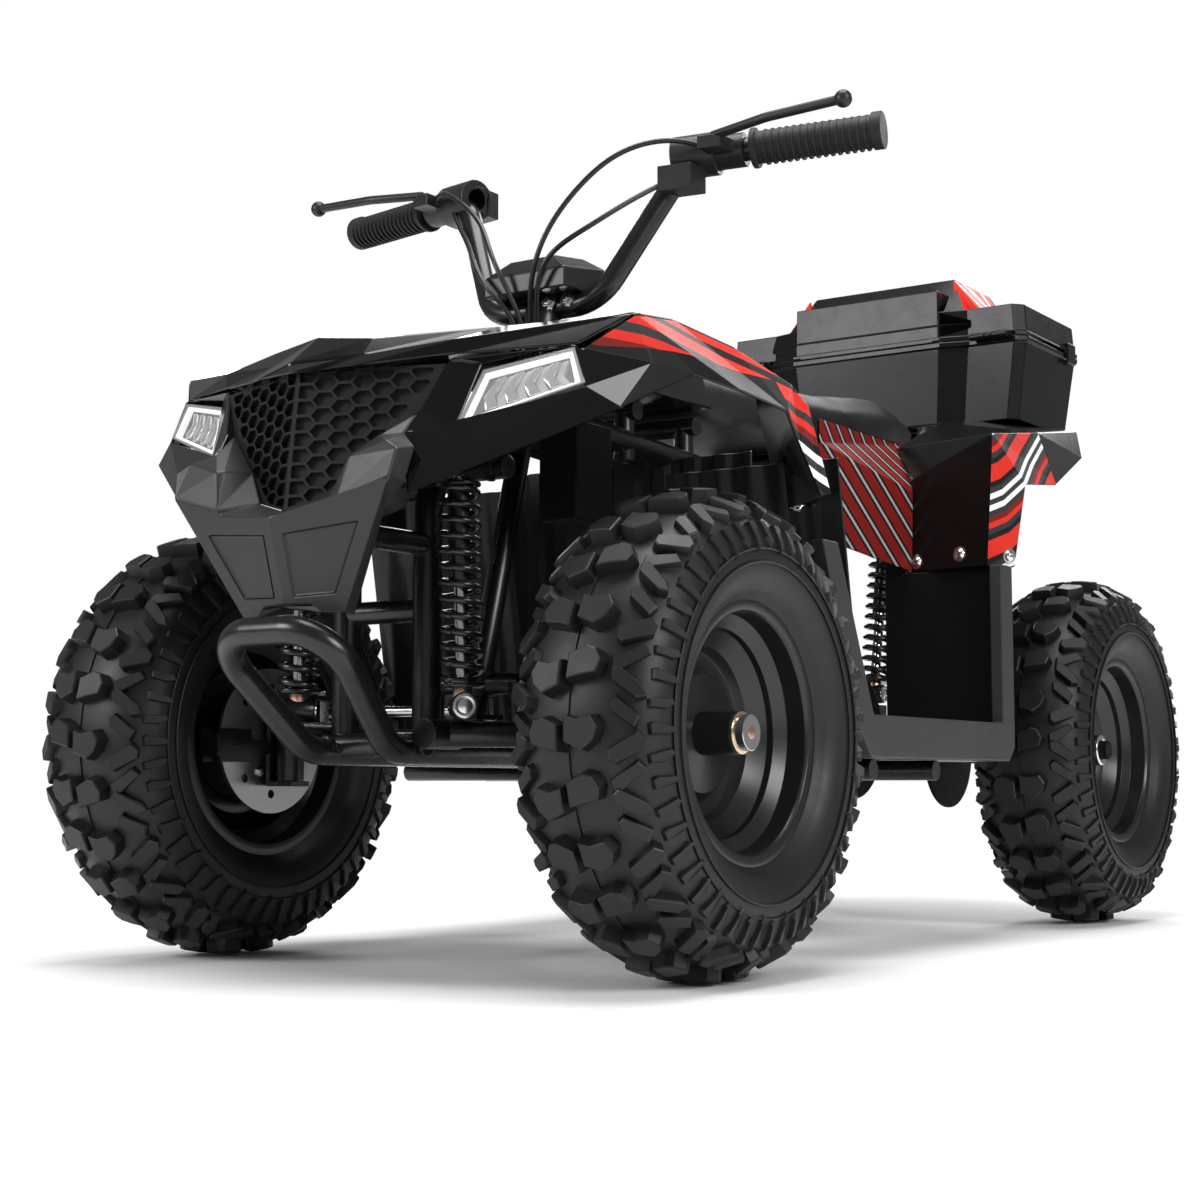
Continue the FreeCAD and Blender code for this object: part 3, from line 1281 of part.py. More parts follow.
def console():
    """Tank cover between the hood and the saddle."""
    shares = {"a": (1, 0, 0), "b": (1, 1, 0), "c": (-1, 1, 0), "e": (-1, 0, 0),
              "f": (0.55, 0, 1), "g": (0.8, 1, 0.9), "i": (-0.8, 1, 0.9), "j": (-0.55, 0, 1)}
    length = d.SeatFront - d.ConsoleFront - d.SeatClearance
    points = scaled_points(shares, lambda x, y, z: at(d.ConsoleHalf * x, d.ConsoleFront + length * y,
                                                      d.SeatHeight - d.SeatThickness + d.SeatThickness * z))
    return block(points, [("a", "b", "c", "e"), ("a", "f", "g", "b"), ("b", "g", "i", "c"),
                          ("c", "i", "j", "e"), ("e", "j", "f", "a"), ("f", "j", "i", "g")])


def foot_frame():
    """U-shaped outer edge of the footwell: front strip, bottom rail and rear strip."""
    outer = d.BodyHalfWidth * 0.98
    inner = outer - d.FootEdge
    low = d.FootHeight
    rail_top = low + d.FootRailHeight
    front = d.FootFront
    rear = d.FootRear
    strip_top = strip_rear - d.FootEdge
    profile = [at(outer, front - d.StripWidth * 0.6, low + d.StripWidth), at(outer, front + d.StripWidth * 0.3, low),
               at(outer, rear - d.StripWidth * 0.5, low), at(outer, rear, low + d.StripWidth * 0.5),
               at(outer, rear, strip_rear), at(outer, rear - d.StripWidth, strip_rear),
               at(outer, rear - d.StripWidth, rail_top), at(outer, front + d.StripWidth * 0.5, rail_top),
               at(outer, front - d.StripWidth * 1.8, strip_top), at(outer, front - d.StripWidth * 2.8, strip_top)]
    face = Part.Face(Part.makePolygon(profile + profile[:1]))
    return face.extrude(Vector(-float(d.FootEdge), 0, 0)).removeSplitter()


def footwell():
    """Foot board and the upright splash panel behind it."""
    outer = d.BodyHalfWidth * 0.98 - d.FootEdge
    low = d.FootHeight
    board = slab(at(d.FootInner, d.FootFront, low), at(outer, d.FootRear, low + d.PanelThickness * 2))
    back = slab(at(d.FootInner + d.Plate * 3, d.FootRear - d.PanelThickness * 2, low),
                at(outer, d.FootRear, strip_rear - d.SeatClearance))
    return fuse([board, back])


# Rear bodywork and luggage box

REAR_SHARES = {
    "front inner": (0.600, 0.000, 0.465), "front outer": (0.960, -0.080, 0.645), "waist": (0.460, 0.100, 0.680),
    "deck front": (0.460, 0.420, 0.930), "deck front middle": (0, 0.420, 0.930),
    "deck edge": (0.460, 0.600, 1.000), "deck middle": (0, 0.600, 1.000),
    "wing mid": (0.850, 0.450, 0.820), "wing top": (0.740, 0.985, 1.000), "deck rear": (0.400, 1.050, 1.000),
    "deck rear middle": (0, 1.060, 1.000),
    "wing tip": (0.800, 0.905, 0.800), "wing low": (0.873, 0.538, 0.530), "notch": (0.967, 0.133, 0.420),
    "strip low": (0.980, 0.020, -0.060), "strip front": (0.920, -0.060, -0.060), "panel low": (0.560, 0.000, -0.060)}

REAR_LOOPS = [
    ("front inner", "panel low", "strip front", "front outer"), ("front outer", "strip front", "strip low", "notch"),
    ("front inner", "front outer", "waist"), ("waist", "front outer", "wing mid", "deck front"),
    ("deck front middle", "deck front", "deck edge", "deck middle"), ("deck front", "wing mid", "deck edge"),
    ("deck middle", "deck edge", "deck rear", "deck rear middle"), ("deck edge", "wing mid", "wing top", "deck rear"),
    ("front outer", "notch", "wing low", "wing mid"), ("wing mid", "wing low", "wing tip", "wing top")]


def rear_point(across, back, up):
    """Shares of the body's half width, of the rear fender's run and of its rise above the tyres."""
    rise = d.BoxBottom - d.SeatClearance - d.TyreDiameter
    return at(d.BodyHalfWidth * across, d.FootRear + d.FenderRun * back, d.TyreDiameter + rise * up)


def rear_fender():
    points = scaled_points(with_mirror(REAR_SHARES), rear_point)
    loops = REAR_LOOPS + twin_loops(REAR_LOOPS, REAR_SHARES)
    return panel(points, loops, d.PanelThickness)


# Half of the box's outline from above, in shares of its half width and of its length.
BOX_OUTLINE = [(0.483, 0), (0.657, 0.05), (0.947, 0.05), (1, 0.115), (1, 0.92), (0.92, 1)]
RAISED_OUTLINE = [(0.483, 0), (0.657, 0.06), (0.657, 0.9), (0.57, 0.97)]
CROWN_OUTLINE = [(0.473, 0.28), (0.473, 0.9)]


def box_tier(shares, up, draft=1, inset=0):
    """Closed outline at one height, drawn in by a draft about the middle and by a wall."""
    half = d.BoxHalfWidth
    centre = d.BoxFront + d.BoxLength / 2
    loop = []
    for across, along in shares:
        wide = half * across * draft - inset
        from_middle = along - 0.5
        deep = d.BoxLength * from_middle * draft + (inset if from_middle < 0 else -inset)
        loop.append(at(wide, centre + deep, up))
    return loop + [mirror_point(point) for point in loop[::-1]]


def loft(tiers):
    wires = [Part.makePolygon(tier + tier[:1]) for tier in tiers]
    return Part.makeLoft(wires, True, True)


def box_base():
    wall = d.BoxWall
    top = d.BoxSeam - d.SeatClearance
    foot = d.BoxFootShare
    outside = loft([box_tier(BOX_OUTLINE, d.BoxBottom, foot), box_tier(BOX_OUTLINE, top)])
    rim_band = loft([box_tier(BOX_OUTLINE, top - wall * 2, 1, -wall * 0.6), box_tier(BOX_OUTLINE, top, 1, -wall * 0.6)])
    inside = loft([box_tier(BOX_OUTLINE, d.BoxBottom + wall, foot, wall), box_tier(BOX_OUTLINE, top, 1, wall)])
    above = loft([box_tier(BOX_OUTLINE, top, 1, wall), box_tier(BOX_OUTLINE, top + wall, 1, wall)])
    body = fuse([outside, rim_band]).cut([inside, above])
    knuckles = [hinge_knuckle(side, 0.42, 0.58, 0) for side in (-1, 1)]
    pins = [hinge_pin(side) for side in (-1, 1)]
    return fuse([body] + knuckles + pins)


def hinge_line(side, share):
    """Point on the hinges' axis, ahead of a shoulder of the box."""
    inner = d.BoxHalfWidth * 0.69
    outer = d.BoxHalfWidth * 0.93
    return at(side * (inner + (outer - inner) * share), d.BoxFront - d.HingeDiameter / 3, d.BoxSeam)


def hinge_pin(side):
    return rod(hinge_line(side, 0), hinge_line(side, 1), d.HingeDiameter * 0.4)


def hinge_knuckle(side, start, end, up):
    """Barrel about the pin with a leaf that runs back to the wall, above or below the seam."""
    one = hinge_line(side, start)
    two = hinge_line(side, end)
    thick = float(d.HingeDiameter) * 0.45
    low = float(d.SeatClearance) if up else -thick - float(d.SeatClearance)
    reach = float(d.BoxLength * 0.05 + d.HingeDiameter / 3 + d.BoxWall / 2)
    near = Vector(min(one.x, two.x), one.y, one.z + low)
    far = Vector(max(one.x, two.x), one.y + reach, one.z + low + thick)
    return rod(one, two, d.HingeDiameter).fuse(slab(near, far)).removeSplitter()


def latch(side):
    """Catch on the lid that hangs over the side of the base."""
    face = d.BoxHalfWidth + d.BoxWall * 0.6 + d.SeatClearance * 2
    back = d.BoxFront + d.BoxLength * 0.72
    inner, outer = sorted((side * float(face - d.BoxWall), side * float(face + d.BoxWall)))
    catch = slab(at(inner, back, d.BoxSeam + d.SeatClearance), at(outer, back + d.LatchWidth, d.BoxSeam + d.LatchWidth / 2))
    inner, outer = sorted((side * float(face), side * float(face + d.BoxWall)))
    tongue = slab(at(inner, back, d.BoxSeam - d.LatchWidth / 2), at(outer, back + d.LatchWidth, d.BoxSeam + d.LatchWidth / 2))
    return catch.fuse(tongue).removeSplitter()


def lid_skin(inset):
    """Shoulders, raised middle and sloped crown of the lid, drawn in by a wall."""
    low = d.BoxSeam - (d.BoxWall if inset else 0)
    rise = d.BoxTop - d.BoxSeam
    drop = d.BoxWall if inset else 0
    shoulder = d.BoxSeam + rise * 0.43 - drop
    front_top = d.BoxSeam + rise * 0.72 - drop
    shoulders = loft([box_tier(BOX_OUTLINE, low, 1, inset), box_tier(BOX_OUTLINE, shoulder, 0.985, inset)])
    crown = loft([box_tier(RAISED_OUTLINE, shoulder - rise * 0.2, 1, inset), box_tier(CROWN_OUTLINE, d.BoxTop - drop, 1, inset)])
    front = loft([box_tier([(0.483, 0), (0.483, 0.6)], low, 1, inset),
                  box_tier([(0.478, 0.01), (0.478, 0.6)], front_top, 1, inset)])
    return [shoulders, crown, front]


def box_lid():
    wall = d.BoxWall
    outside = fuse(lid_skin(0))
    rim_band = loft([box_tier(BOX_OUTLINE, d.BoxSeam, 1, -wall * 0.6), box_tier(BOX_OUTLINE, d.BoxSeam + wall * 1.6, 1, -wall * 0.6)])
    body = fuse([outside, rim_band]).cut(lid_skin(wall))
    parts = [body, latch(-1), latch(1)]
    for side in (-1, 1):
        for start, end in ((0, 0.41), (0.59, 1)):
            parts.append(hinge_knuckle(side, start, end, 1))
    lid = fuse(parts)
    bores = [rod(hinge_line(side, -1), hinge_line(side, 2), d.HingeDiameter * 0.4 + d.RunningClearance * 2) for side in (-1, 1)]
    gaps = [rod(hinge_line(side, 0.4), hinge_line(side, 0.6), d.HingeDiameter * 1.1) for side in (-1, 1)]
    return lid.cut(bores + gaps)


def rear_body():
    fender = rear_fender()
    solid("rear_fender", fender)
    solid("box_base", box_base())
    solid("box_lid", box_lid())
    both_sides("foot_frame", foot_frame())
    both_sides("footwell", footwell())
    flanks = [trim(side_panel(), fender), trim(mirrored(side_panel()), fender)]
    solid("side_panels", Part.makeCompound(flanks))
    solid("console", console())
    seat()


def battery_box():
    """Case beside the upper rail, under the hood."""
    case = keep(doc.addObject("Part::Box", "battery_box"), "battery_box")
    bind(case, "Length", d.BatteryWidth)
    bind(case, "Width", d.BatteryLength)
    bind(case, "Height", d.BatteryHeight)
    place(case, rail + d.FrameTube / 2 + d.SeatClearance, front_axle + d.BatteryFront,
          d.UpperRailHeight - d.FrameTube / 2 - d.BatteryHeight)


def chassis(hood, mask):
    solid("frame", frame(hood, mask))
    solid("nudge_bar", nudge_bar())
    solid("swingarm", swingarm())
    solid("engine", engine())
    battery_box()


# Build

rubber = tyre_shape()
front_wheels(rubber)
rear_wheels(rubber)
axle_shaft()
suspension()
steering()
chassis(*front_body())
rear_body()

doc.recompute()
for thing in doc.Objects:
    if "Invalid" in thing.State or "Error" in thing.State:
        raise RuntimeError(f"{thing.Name} failed: {thing.State}")
os.makedirs("parts", exist_ok=True)
for piece in pieces:
    shape = piece.Shape
    if shape.isNull() or not shape.isValid():
        raise RuntimeError(f"{piece.Label} has no valid shape")
    shape.exportStep(f"parts/{piece.Label}.step")
    box = shape.BoundBox
    print(f"{piece.Label:26s} solids {len(shape.Solids)}  x {box.XMin:.0f}..{box.XMax:.0f}  "
          f"y {box.YMin:.0f}..{box.YMax:.0f}  z {box.ZMin:.0f}..{box.ZMax:.0f}  {shape.Volume / 1000:.0f} cm3")
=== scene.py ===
# %% [markdown]
# # A utility quad bike, dressed in Blender
# The solids of the bike come from CAD, packed as one frame in metres, with the front towards -Y,
# the rider's left towards +X and the ground at z = 0. Blender gives these solids their finishes
# and adds what CAD leaves out. A body is a group of pieces that moves as one, such as a wheel, and
# each new piece rides on a body by name, so that it follows when the handlebar is turned.

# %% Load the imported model
import json
import math

import bmesh
import bpy
from mathutils import Matrix, Vector
from mathutils.bvhtree import BVHTree


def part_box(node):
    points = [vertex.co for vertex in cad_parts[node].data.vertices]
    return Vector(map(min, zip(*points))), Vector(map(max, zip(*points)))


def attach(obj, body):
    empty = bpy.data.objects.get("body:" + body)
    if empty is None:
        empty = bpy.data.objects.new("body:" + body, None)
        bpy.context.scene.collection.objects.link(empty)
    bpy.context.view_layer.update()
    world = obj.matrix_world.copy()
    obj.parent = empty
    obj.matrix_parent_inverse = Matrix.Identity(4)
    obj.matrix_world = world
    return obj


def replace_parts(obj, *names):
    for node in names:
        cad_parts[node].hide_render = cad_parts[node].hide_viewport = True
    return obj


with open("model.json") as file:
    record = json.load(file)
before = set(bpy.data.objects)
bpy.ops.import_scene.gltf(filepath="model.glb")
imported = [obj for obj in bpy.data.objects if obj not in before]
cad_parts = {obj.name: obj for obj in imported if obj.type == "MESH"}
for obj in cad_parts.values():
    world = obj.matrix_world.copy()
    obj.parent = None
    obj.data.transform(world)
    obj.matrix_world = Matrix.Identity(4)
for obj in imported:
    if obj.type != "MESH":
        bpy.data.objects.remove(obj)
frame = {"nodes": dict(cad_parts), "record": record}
nodes = frame["nodes"]
record = frame["record"]
body_of_node = {name: body for body, names in record["behaviour"]["bodies"].items() for name in names}
slot_of_node = {part["node"]: part["material_slot"] for part in record["subparts"]}
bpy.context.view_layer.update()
mm = 0.001
front_axle_y = -0.4305
rear_axle_y = 0.4725
axle_height = 0.203
sides_of_bike = (("left", 1), ("right", -1))


def linked(name, data):
    """A new object in the scene."""
    made = bpy.data.objects.new(name, data)
    bpy.context.scene.collection.objects.link(made)
    return made


def mesh_of(form, name, closed=False):
    """The plain mesh of a bmesh that is finished with; a closed form has its faces turned outwards."""
    if closed:
        bmesh.ops.recalc_face_normals(form, faces=form.faces)
    mesh = bpy.data.meshes.new(name)
    form.to_mesh(mesh)
    form.free()
    return mesh


def aimed(place, target):
    """Rotation that points a camera or a lamp from a place at a target."""
    return (Vector(target) - Vector(place)).to_track_quat("-Z", "Y").to_euler()


# %% [markdown]
# The picture was taken low down, beside the left front wheel, with a lens of about 60 mm. The camera
# stands there and looks a little upwards. Five large soft lamps draw the highlights along the edges
# of the bodywork, because black plastic shows its shape by its reflections and hardly by its shade.

# %% Camera and lamps
camera_data = bpy.data.cameras.new("camera")
camera_data.lens = 60.665
camera_data.sensor_width = 36
camera_data.clip_end = 50
camera = linked("camera", camera_data)
camera.location = (1.1281, -1.8626, 0.1587)
camera.rotation_euler = aimed((0, 0, 0), (-0.5554, 0.8265, 0.0923))
bpy.context.scene.camera = camera
bpy.context.scene.view_settings.view_transform = "Standard"


def lamp(name, place, target, size, watts):
    """A square soft lamp at a place, aimed at a target."""
    data = bpy.data.lights.new(name, "AREA")
    data.size = size
    data.energy = watts
    lamp_object = linked(name, data)
    lamp_object.location = place
    lamp_object.rotation_euler = aimed(place, target)


front_target = (0, 0, 0.4)
rear_target = (0, 0.3, 0.5)
lamp("lamp_above", (0.2, -0.3, 2.6), front_target, 1.6, 60)
lamp("lamp_front", (-1.6, -3.0, 1.6), front_target, 1.2, 55)
lamp("lamp_side", (3.0, -1.0, 1.7), front_target, 1.2, 60)
lamp("lamp_rear", (-0.2, 3.2, 2.4), rear_target, 1.6, 55)
lamp("lamp_rear_right", (-2.2, 2.2, 1.6), rear_target, 1.2, 35)
print("camera at", tuple(camera.location), "lens", camera_data.lens)

# %% [markdown]
# Shader maths reads best as expressions. The class below wraps one socket of a material's node tree
# and gives it Python's operators, so `edge * 0.5 + 0.1` builds a Multiply and an Add node.

# %% Shader expressions


def fill(tree, socket, value):
    """Links an output to an input, or sets the input to a plain value."""
    value = getattr(value, "socket", value)
    if isinstance(value, bpy.types.NodeSocket):
        tree.links.new(value, socket)
    else:
        socket.default_value = value


class Wire:
    """An output socket of a node tree, with operators that add Math nodes."""

    def __init__(self, recipe, socket):
        self.recipe = recipe
        self.socket = socket

    def math(self, operation, *others):
        return self.recipe.node("ShaderNodeMath", {"operation": operation}, self, *others)

    def __add__(self, other):
        return self.math("ADD", other)

    def __radd__(self, other):
        return self.math("ADD", other)

    def __sub__(self, other):
        return self.math("SUBTRACT", other)

    def __rsub__(self, other):
        return self.recipe.node("ShaderNodeMath", {"operation": "SUBTRACT"}, other, self)

    def __mul__(self, other):
        return self.math("MULTIPLY", other)

    def __rmul__(self, other):
        return self.math("MULTIPLY", other)

    def __truediv__(self, other):
        return self.math("DIVIDE", other)

    def __gt__(self, other):
        return self.math("GREATER_THAN", other)

    def __mod__(self, other):
        return self.math("FLOORED_MODULO", other)


class Recipe:
    """One material: its node tree and the Principled shader at its end."""

    def __init__(self, name, specular=0.5, **finish):
        self.material = bpy.data.materials.new(name)
        self.material.use_nodes = True
        self.tree = self.material.node_tree
        self.shader = self.tree.nodes["Principled BSDF"]
        self.shader.inputs["Specular IOR Level"].default_value = specular
        self.give(**finish)

    def node(self, kind, settings, *values, output=0, **named):
        """Adds a node, sets its settings, and fills its inputs by order or by name."""
        made = self.tree.nodes.new(kind)
        for key, value in settings.items():
            if key == "stops":
                ramp = made.color_ramp
                ramp.interpolation = "CONSTANT"
                while len(ramp.elements) < len(value):
                    ramp.elements.new(0.5)
                for stop, (place, colour) in zip(ramp.elements, value):
                    stop.position = place
                    stop.color = colour
            else:
                setattr(made, key, value)
        for key, value in list(enumerate(values)) + list(named.items()):
            fill(self.tree, made.inputs[key if isinstance(key, int) else key.replace("_", " ")], value)
        return Wire(self, made.outputs[output])

    def place(self):
        """Object coordinates, which are the row frame's metres."""
        return self.node("ShaderNodeTexCoord", {}, output="Object")

    def axes(self):
        split = self.tree.nodes.new("ShaderNodeSeparateXYZ")
        fill(self.tree, split.inputs[0], self.place())
        return [Wire(self, output) for output in split.outputs]

    def noise(self, scale, detail=2.0):
        return self.node("ShaderNodeTexNoise", {}, Vector=self.place(), Scale=scale, Detail=detail)

    def between(self, value, low, high):
        """Maps 0 to 1 onto low to high."""
        return value * (high - low) + low

    def mix(self, factor, first, second):
        """Blends two colours."""
        mixer = self.tree.nodes.new("ShaderNodeMix")
        mixer.data_type = "RGBA"
        for number, value in ((0, factor), (6, first), (7, second)):
            fill(self.tree, mixer.inputs[number], value)
        return Wire(self, mixer.outputs[2])

    def give(self, **sockets):
        """Gives the shader's inputs wires or plain values."""
        for name, value in sockets.items():
            fill(self.tree, self.shader.inputs[name.replace("_", " ").title()], value)

    def bump(self, height, strength, distance):
        """Lifts the shading by a height, without moving the surface."""
        self.give(normal=self.node("ShaderNodeBump", {}, Strength=strength, Distance=distance, Height=height))


def grey(level):
    """A colour with no hue."""
    return (level, level, level, 1)


print("shader classes:", Wire.__name__, Recipe.__name__)

# %% [markdown]
# The room is a pale floor under a pale sky. The sky is white for the camera and through glass only,
# because a white sky that also lit the bike would turn its black plastic grey. A Light Path node tells
# the kinds of ray apart. The floor takes the bike's shadow, and fades into the sky further out.

# %% Floor and sky
FLOOR_REACH = 30.0
FADE_START = 1.1
FADE_END = 2.3
SKY_STRENGTHS = (("Diffuse", 0.3), ("Is Glossy Ray", 0.22), ("Is Transmission Ray", 1.0),
                 ("Is Camera Ray", 1.0))


def make_floor():
    """A large pale floor that keeps the bike's shadow and fades into the white sky for the camera."""
    mesh = bpy.data.meshes.new("floor")
    corners = [(x * FLOOR_REACH, y * FLOOR_REACH, 0) for x, y in ((-1, -1), (1, -1), (1, 1), (-1, 1))]
    mesh.from_pydata(corners, [], [(0, 1, 2, 3)])
    floor = linked("floor", mesh)
    recipe = Recipe("floor_paper", 0.2, roughness=0.85)
    recipe.give(base_color=recipe.mix(recipe.noise(3.0), grey(0.90), grey(0.92)))
    distance = recipe.node("ShaderNodeVectorMath", {"operation": "LENGTH"}, recipe.place(), output="Value")
    fade = recipe.node("ShaderNodeMapRange", {"interpolation_type": "SMOOTHSTEP"}, distance,
                       From_Min=FADE_START, From_Max=FADE_END)
    seen = recipe.node("ShaderNodeLightPath", {}, output="Is Camera Ray")
    light = recipe.node("ShaderNodeEmission", {}, grey(1))
    lit = Wire(recipe, recipe.shader.outputs[0])
    blend = recipe.node("ShaderNodeMixShader", {}, fade * seen, lit, light)
    fill(recipe.tree, recipe.tree.nodes["Material Output"].inputs["Surface"], blend)
    mesh.materials.append(recipe.material)


def make_sky():
    """White for the camera and through glass, and dimmer for reflections and diffuse light."""
    world = bpy.data.worlds.new("sky")
    bpy.context.scene.world = world
    world.use_nodes = True
    tree = world.node_tree
    tree.nodes.clear()
    out = tree.nodes.new("ShaderNodeOutputWorld")
    path = tree.nodes.new("ShaderNodeLightPath")
    last = None
    for kind, strength in SKY_STRENGTHS:
        background = tree.nodes.new("ShaderNodeBackground")
        for number, value in enumerate((grey(1), strength)):
            fill(tree, background.inputs[number], value)
        light = background.outputs[0]
        if last:
            mix = tree.nodes.new("ShaderNodeMixShader")
            for number, value in enumerate((path.outputs[kind], last, light)):
                fill(tree, mix.inputs[number], value)
            light = mix.outputs[0]
        last = light
    fill(tree, out.inputs[0], last)


make_floor()
make_sky()
print("floor fades between", FADE_START, "and", FADE_END, "m")

# %% [markdown]
# Nearly all of the bike is black, so its finishes differ in sheen and grain rather than in colour.
# Each finish is a short recipe: a colour that drifts a little, a roughness that drifts with it, and a
# fine bump, all read from Object coordinates in metres, so a scale of 900 is a grain of about 1 mm.
# The level of specular light is a constant, because black plastic reflects less than the default.

# %% Finishes


def plastic(name, level, rough, grain=0.0, specular=0.35, grain_scale=900.0, tint=(1.0, 1.0, 1.02)):
    """Moulded plastic, paint or rubber in a near-black shade."""
    recipe = Recipe(name, specular, metallic=0.0)
    low, high = ([level * share * part for part in tint] + [1] for share in (0.8, 1.2))
    recipe.give(base_color=recipe.mix(recipe.noise(14.0, 3.0), low, high),
                roughness=recipe.between(recipe.noise(60.0, 4.0), rough * 0.82, rough * 1.2))
    if grain:
        recipe.bump(recipe.noise(grain_scale, 2.0), grain, 0.0004)
    return recipe.material


def metal(name, level, rough, grain=0.1, tint=(1.0, 1.0, 1.0)):
    """Bare or plated metal."""
    recipe = Recipe(name, metallic=1.0)
    low, high = ([level * share * part for part in tint] + [1] for share in (0.85, 1.0))
    recipe.give(base_color=recipe.mix(recipe.noise(30.0, 3.0), low, high),
                roughness=recipe.between(recipe.noise(120.0, 4.0), rough * 0.8, rough * 1.3))
    recipe.bump(recipe.noise(700.0), grain, 0.0002)
    return recipe.material


finishes = {
    "tyre": plastic("tyre_rubber", 0.0065, 0.46, 0.3, 0.4, tint=(1.0, 1.0, 1.06)),
    "wheel_black": plastic("wheel_paint", 0.008, 0.3, 0.08, 0.5),
    "disc_steel": metal("disc_steel", 0.5, 0.3),
    "bright_steel": metal("bright_steel", 0.7, 0.18),
    "black_steel": plastic("frame_paint", 0.006, 0.28, 0.06, 0.5),
    "spring_black": plastic("spring_paint", 0.008, 0.26, 0.0, 0.5),
    "grip_rubber": plastic("grip_rubber", 0.01, 0.6, 0.2, 0.4),
    "control_plastic": plastic("control_plastic", 0.01, 0.4, 0.1, 0.4),
    "satin_plastic": plastic("satin_plastic", 0.007, 0.34, 0.1, 0.4),
    "engine_metal": metal("engine_metal", 0.08, 0.45),
    "gloss_black": plastic("gloss_black", 0.003, 0.13, 0.0, 0.4),
    "mask_grey": plastic("mask_grey", 0.019, 0.42, 0.15, 0.4),
    "lamp_clear": plastic("lamp_clear", 0.6, 0.1),
    "rail_grey": plastic("rail_grey", 0.03, 0.45, 0.1, 0.4),
    "panel_red": plastic("panel_black", 0.004, 0.14, 0.0, 0.4),
    "seat_vinyl": plastic("seat_vinyl", 0.012, 0.5, 0.4, 0.4, 450.0),
    "box_black": plastic("box_black", 0.005, 0.26, 0.05, 0.28),
    "cable_black": plastic("cable_black", 0.006, 0.35, 0.0, 0.5),
}
print("finishes", len(finishes))

# %% [markdown]
# The stripes are printed film in red, white and dark grey over the gloss black. A stripe is a step in
# one direction, so a recipe takes the distance along that direction, in a vertical plane along the
# bike, and looks it up in a colour ramp with hard steps. Each panel lays the film its own way. The
# film is duller than the panels, so that it keeps its colours under the lamps.

# %% Stripes
RED = (0.62, 0.022, 0.012, 1)
DEEP_RED = (0.16, 0.007, 0.005, 1)
WHITE = (0.8, 0.8, 0.82, 1)
SLATE = (0.028, 0.028, 0.03, 1)
LINE_GREY = (0.3, 0.3, 0.31, 1)
BLACK = (0.004, 0.004, 0.004, 1)


def striped(name, across, period, colours, start=0.0, shown=None):
    """Film whose colours step along a direction, given as shares of Y and Z, and repeat after a period."""
    recipe = Recipe(name, 0.2, metallic=0.0)
    _, y, z = recipe.axes()
    share = ((y * across[0] + z * across[1] - start) / period) % 1.0
    stops = [(number / len(colours), colour) for number, colour in enumerate(colours)]
    colour = recipe.node("ShaderNodeValToRGB", {"stops": stops}, share)
    if shown:
        colour = recipe.mix(shown(y, z), BLACK, colour)
    recipe.give(base_color=colour, roughness=recipe.between(recipe.noise(25.0, 3.0), 0.44, 0.6))
    return recipe.material


chrome = metal("chrome", 0.85, 0.14, 0.02)
brass = metal("brass_plate", 0.8, 0.25, 0.05, (1.0, 0.8, 0.55))
copper = metal("copper_line", 0.7, 0.3, 0.05, (1.0, 0.62, 0.45))
fender_bands = [RED, RED, SLATE, DEEP_RED, RED, SLATE, BLACK, WHITE, SLATE, WHITE, BLACK, DEEP_RED, RED,
                SLATE, RED, RED, BLACK, RED, SLATE, RED, RED, SLATE, BLACK, RED, BLACK, RED, RED, DEEP_RED,
                SLATE, RED, BLACK, SLATE]
patterns = {
    "chrome": chrome,
    "fender": striped("stripes_fender", (0.2, 1), 0.256, fender_bands, start=0.32,
                      shown=lambda y, z: (z > 0.514).math("MAXIMUM", y > -0.325)),
    "side": striped("stripes_side", (0.74, 0.67), 0.021,
                    [DEEP_RED, DEEP_RED, DEEP_RED, DEEP_RED, BLACK, LINE_GREY, BLACK]),
    "post": striped("stripes_post", (-0.42, 0.9), 0.075,
                    [RED, RED, RED, BLACK, SLATE, RED, DEEP_RED, SLATE, WHITE, SLATE, WHITE, SLATE, BLACK]),
    "lid": striped("stripes_lid", (0.9, 0.42), 0.08,
                   [RED, RED, WHITE, RED, RED, SLATE, WHITE, RED, RED, RED], start=0.738),
    "shade": plastic("shade_black", 0.004, 0.6, 0.1, 0.15),
    "fender_gloss": plastic("fender_gloss", 0.004, 0.24, 0.0, 0.35),
}
for name, slot in slot_of_node.items():
    node = nodes[name]
    node.data.materials.clear()
    node.data.materials.append(finishes[slot])
print("patterns", len(patterns))

# %% [markdown]
# Most of the bike is folded plastic and bent tube, and CAD gives those shapes exactly, but with edges
# of no width. A real moulding has a small round along each edge, and that round catches the light as a
# thin bright line. So each CAD mesh is copied, its loose triangles are merged into whole faces, and
# its edges are bevelled by about a millimetre. At sharp tips a bevel can throw a point far out, so
# such points are put back on the panel. Weighted normals keep the large faces looking flat.

# %% Pieces from CAD meshes
DRESSED_ANGLE = 18
STRAY_SHARE = 1.5


def finished(name, mesh, body, slot, material=None, smooth=38):
    """Links a mesh as a piece of the bike that rides on a body and takes a slot's finish."""
    mesh.name = name
    if material or not mesh.materials:
        mesh.materials.clear()
        mesh.materials.append(material or finishes[slot])
    if smooth:
        mesh.shade_smooth()
        mesh.set_sharp_from_angle(angle=math.radians(smooth))
    made = linked(name, mesh)
    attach(made, body)
    return made


def baked(holder):
    """The plain mesh of an object after its modifiers; the object itself is removed."""
    graph = bpy.context.evaluated_depsgraph_get()
    mesh = bpy.data.meshes.new_from_object(holder.evaluated_get(graph), depsgraph=graph)
    bpy.data.objects.remove(holder)
    return mesh


def flattened(source, *modifiers):
    """A mesh after some modifiers, which are given as kind and settings."""
    holder = linked("holder", source)
    for kind, settings in modifiers:
        modifier = holder.modifiers.new(kind.title(), kind)
        for key, value in settings.items():
            setattr(modifier, key, value)
    return baked(holder)


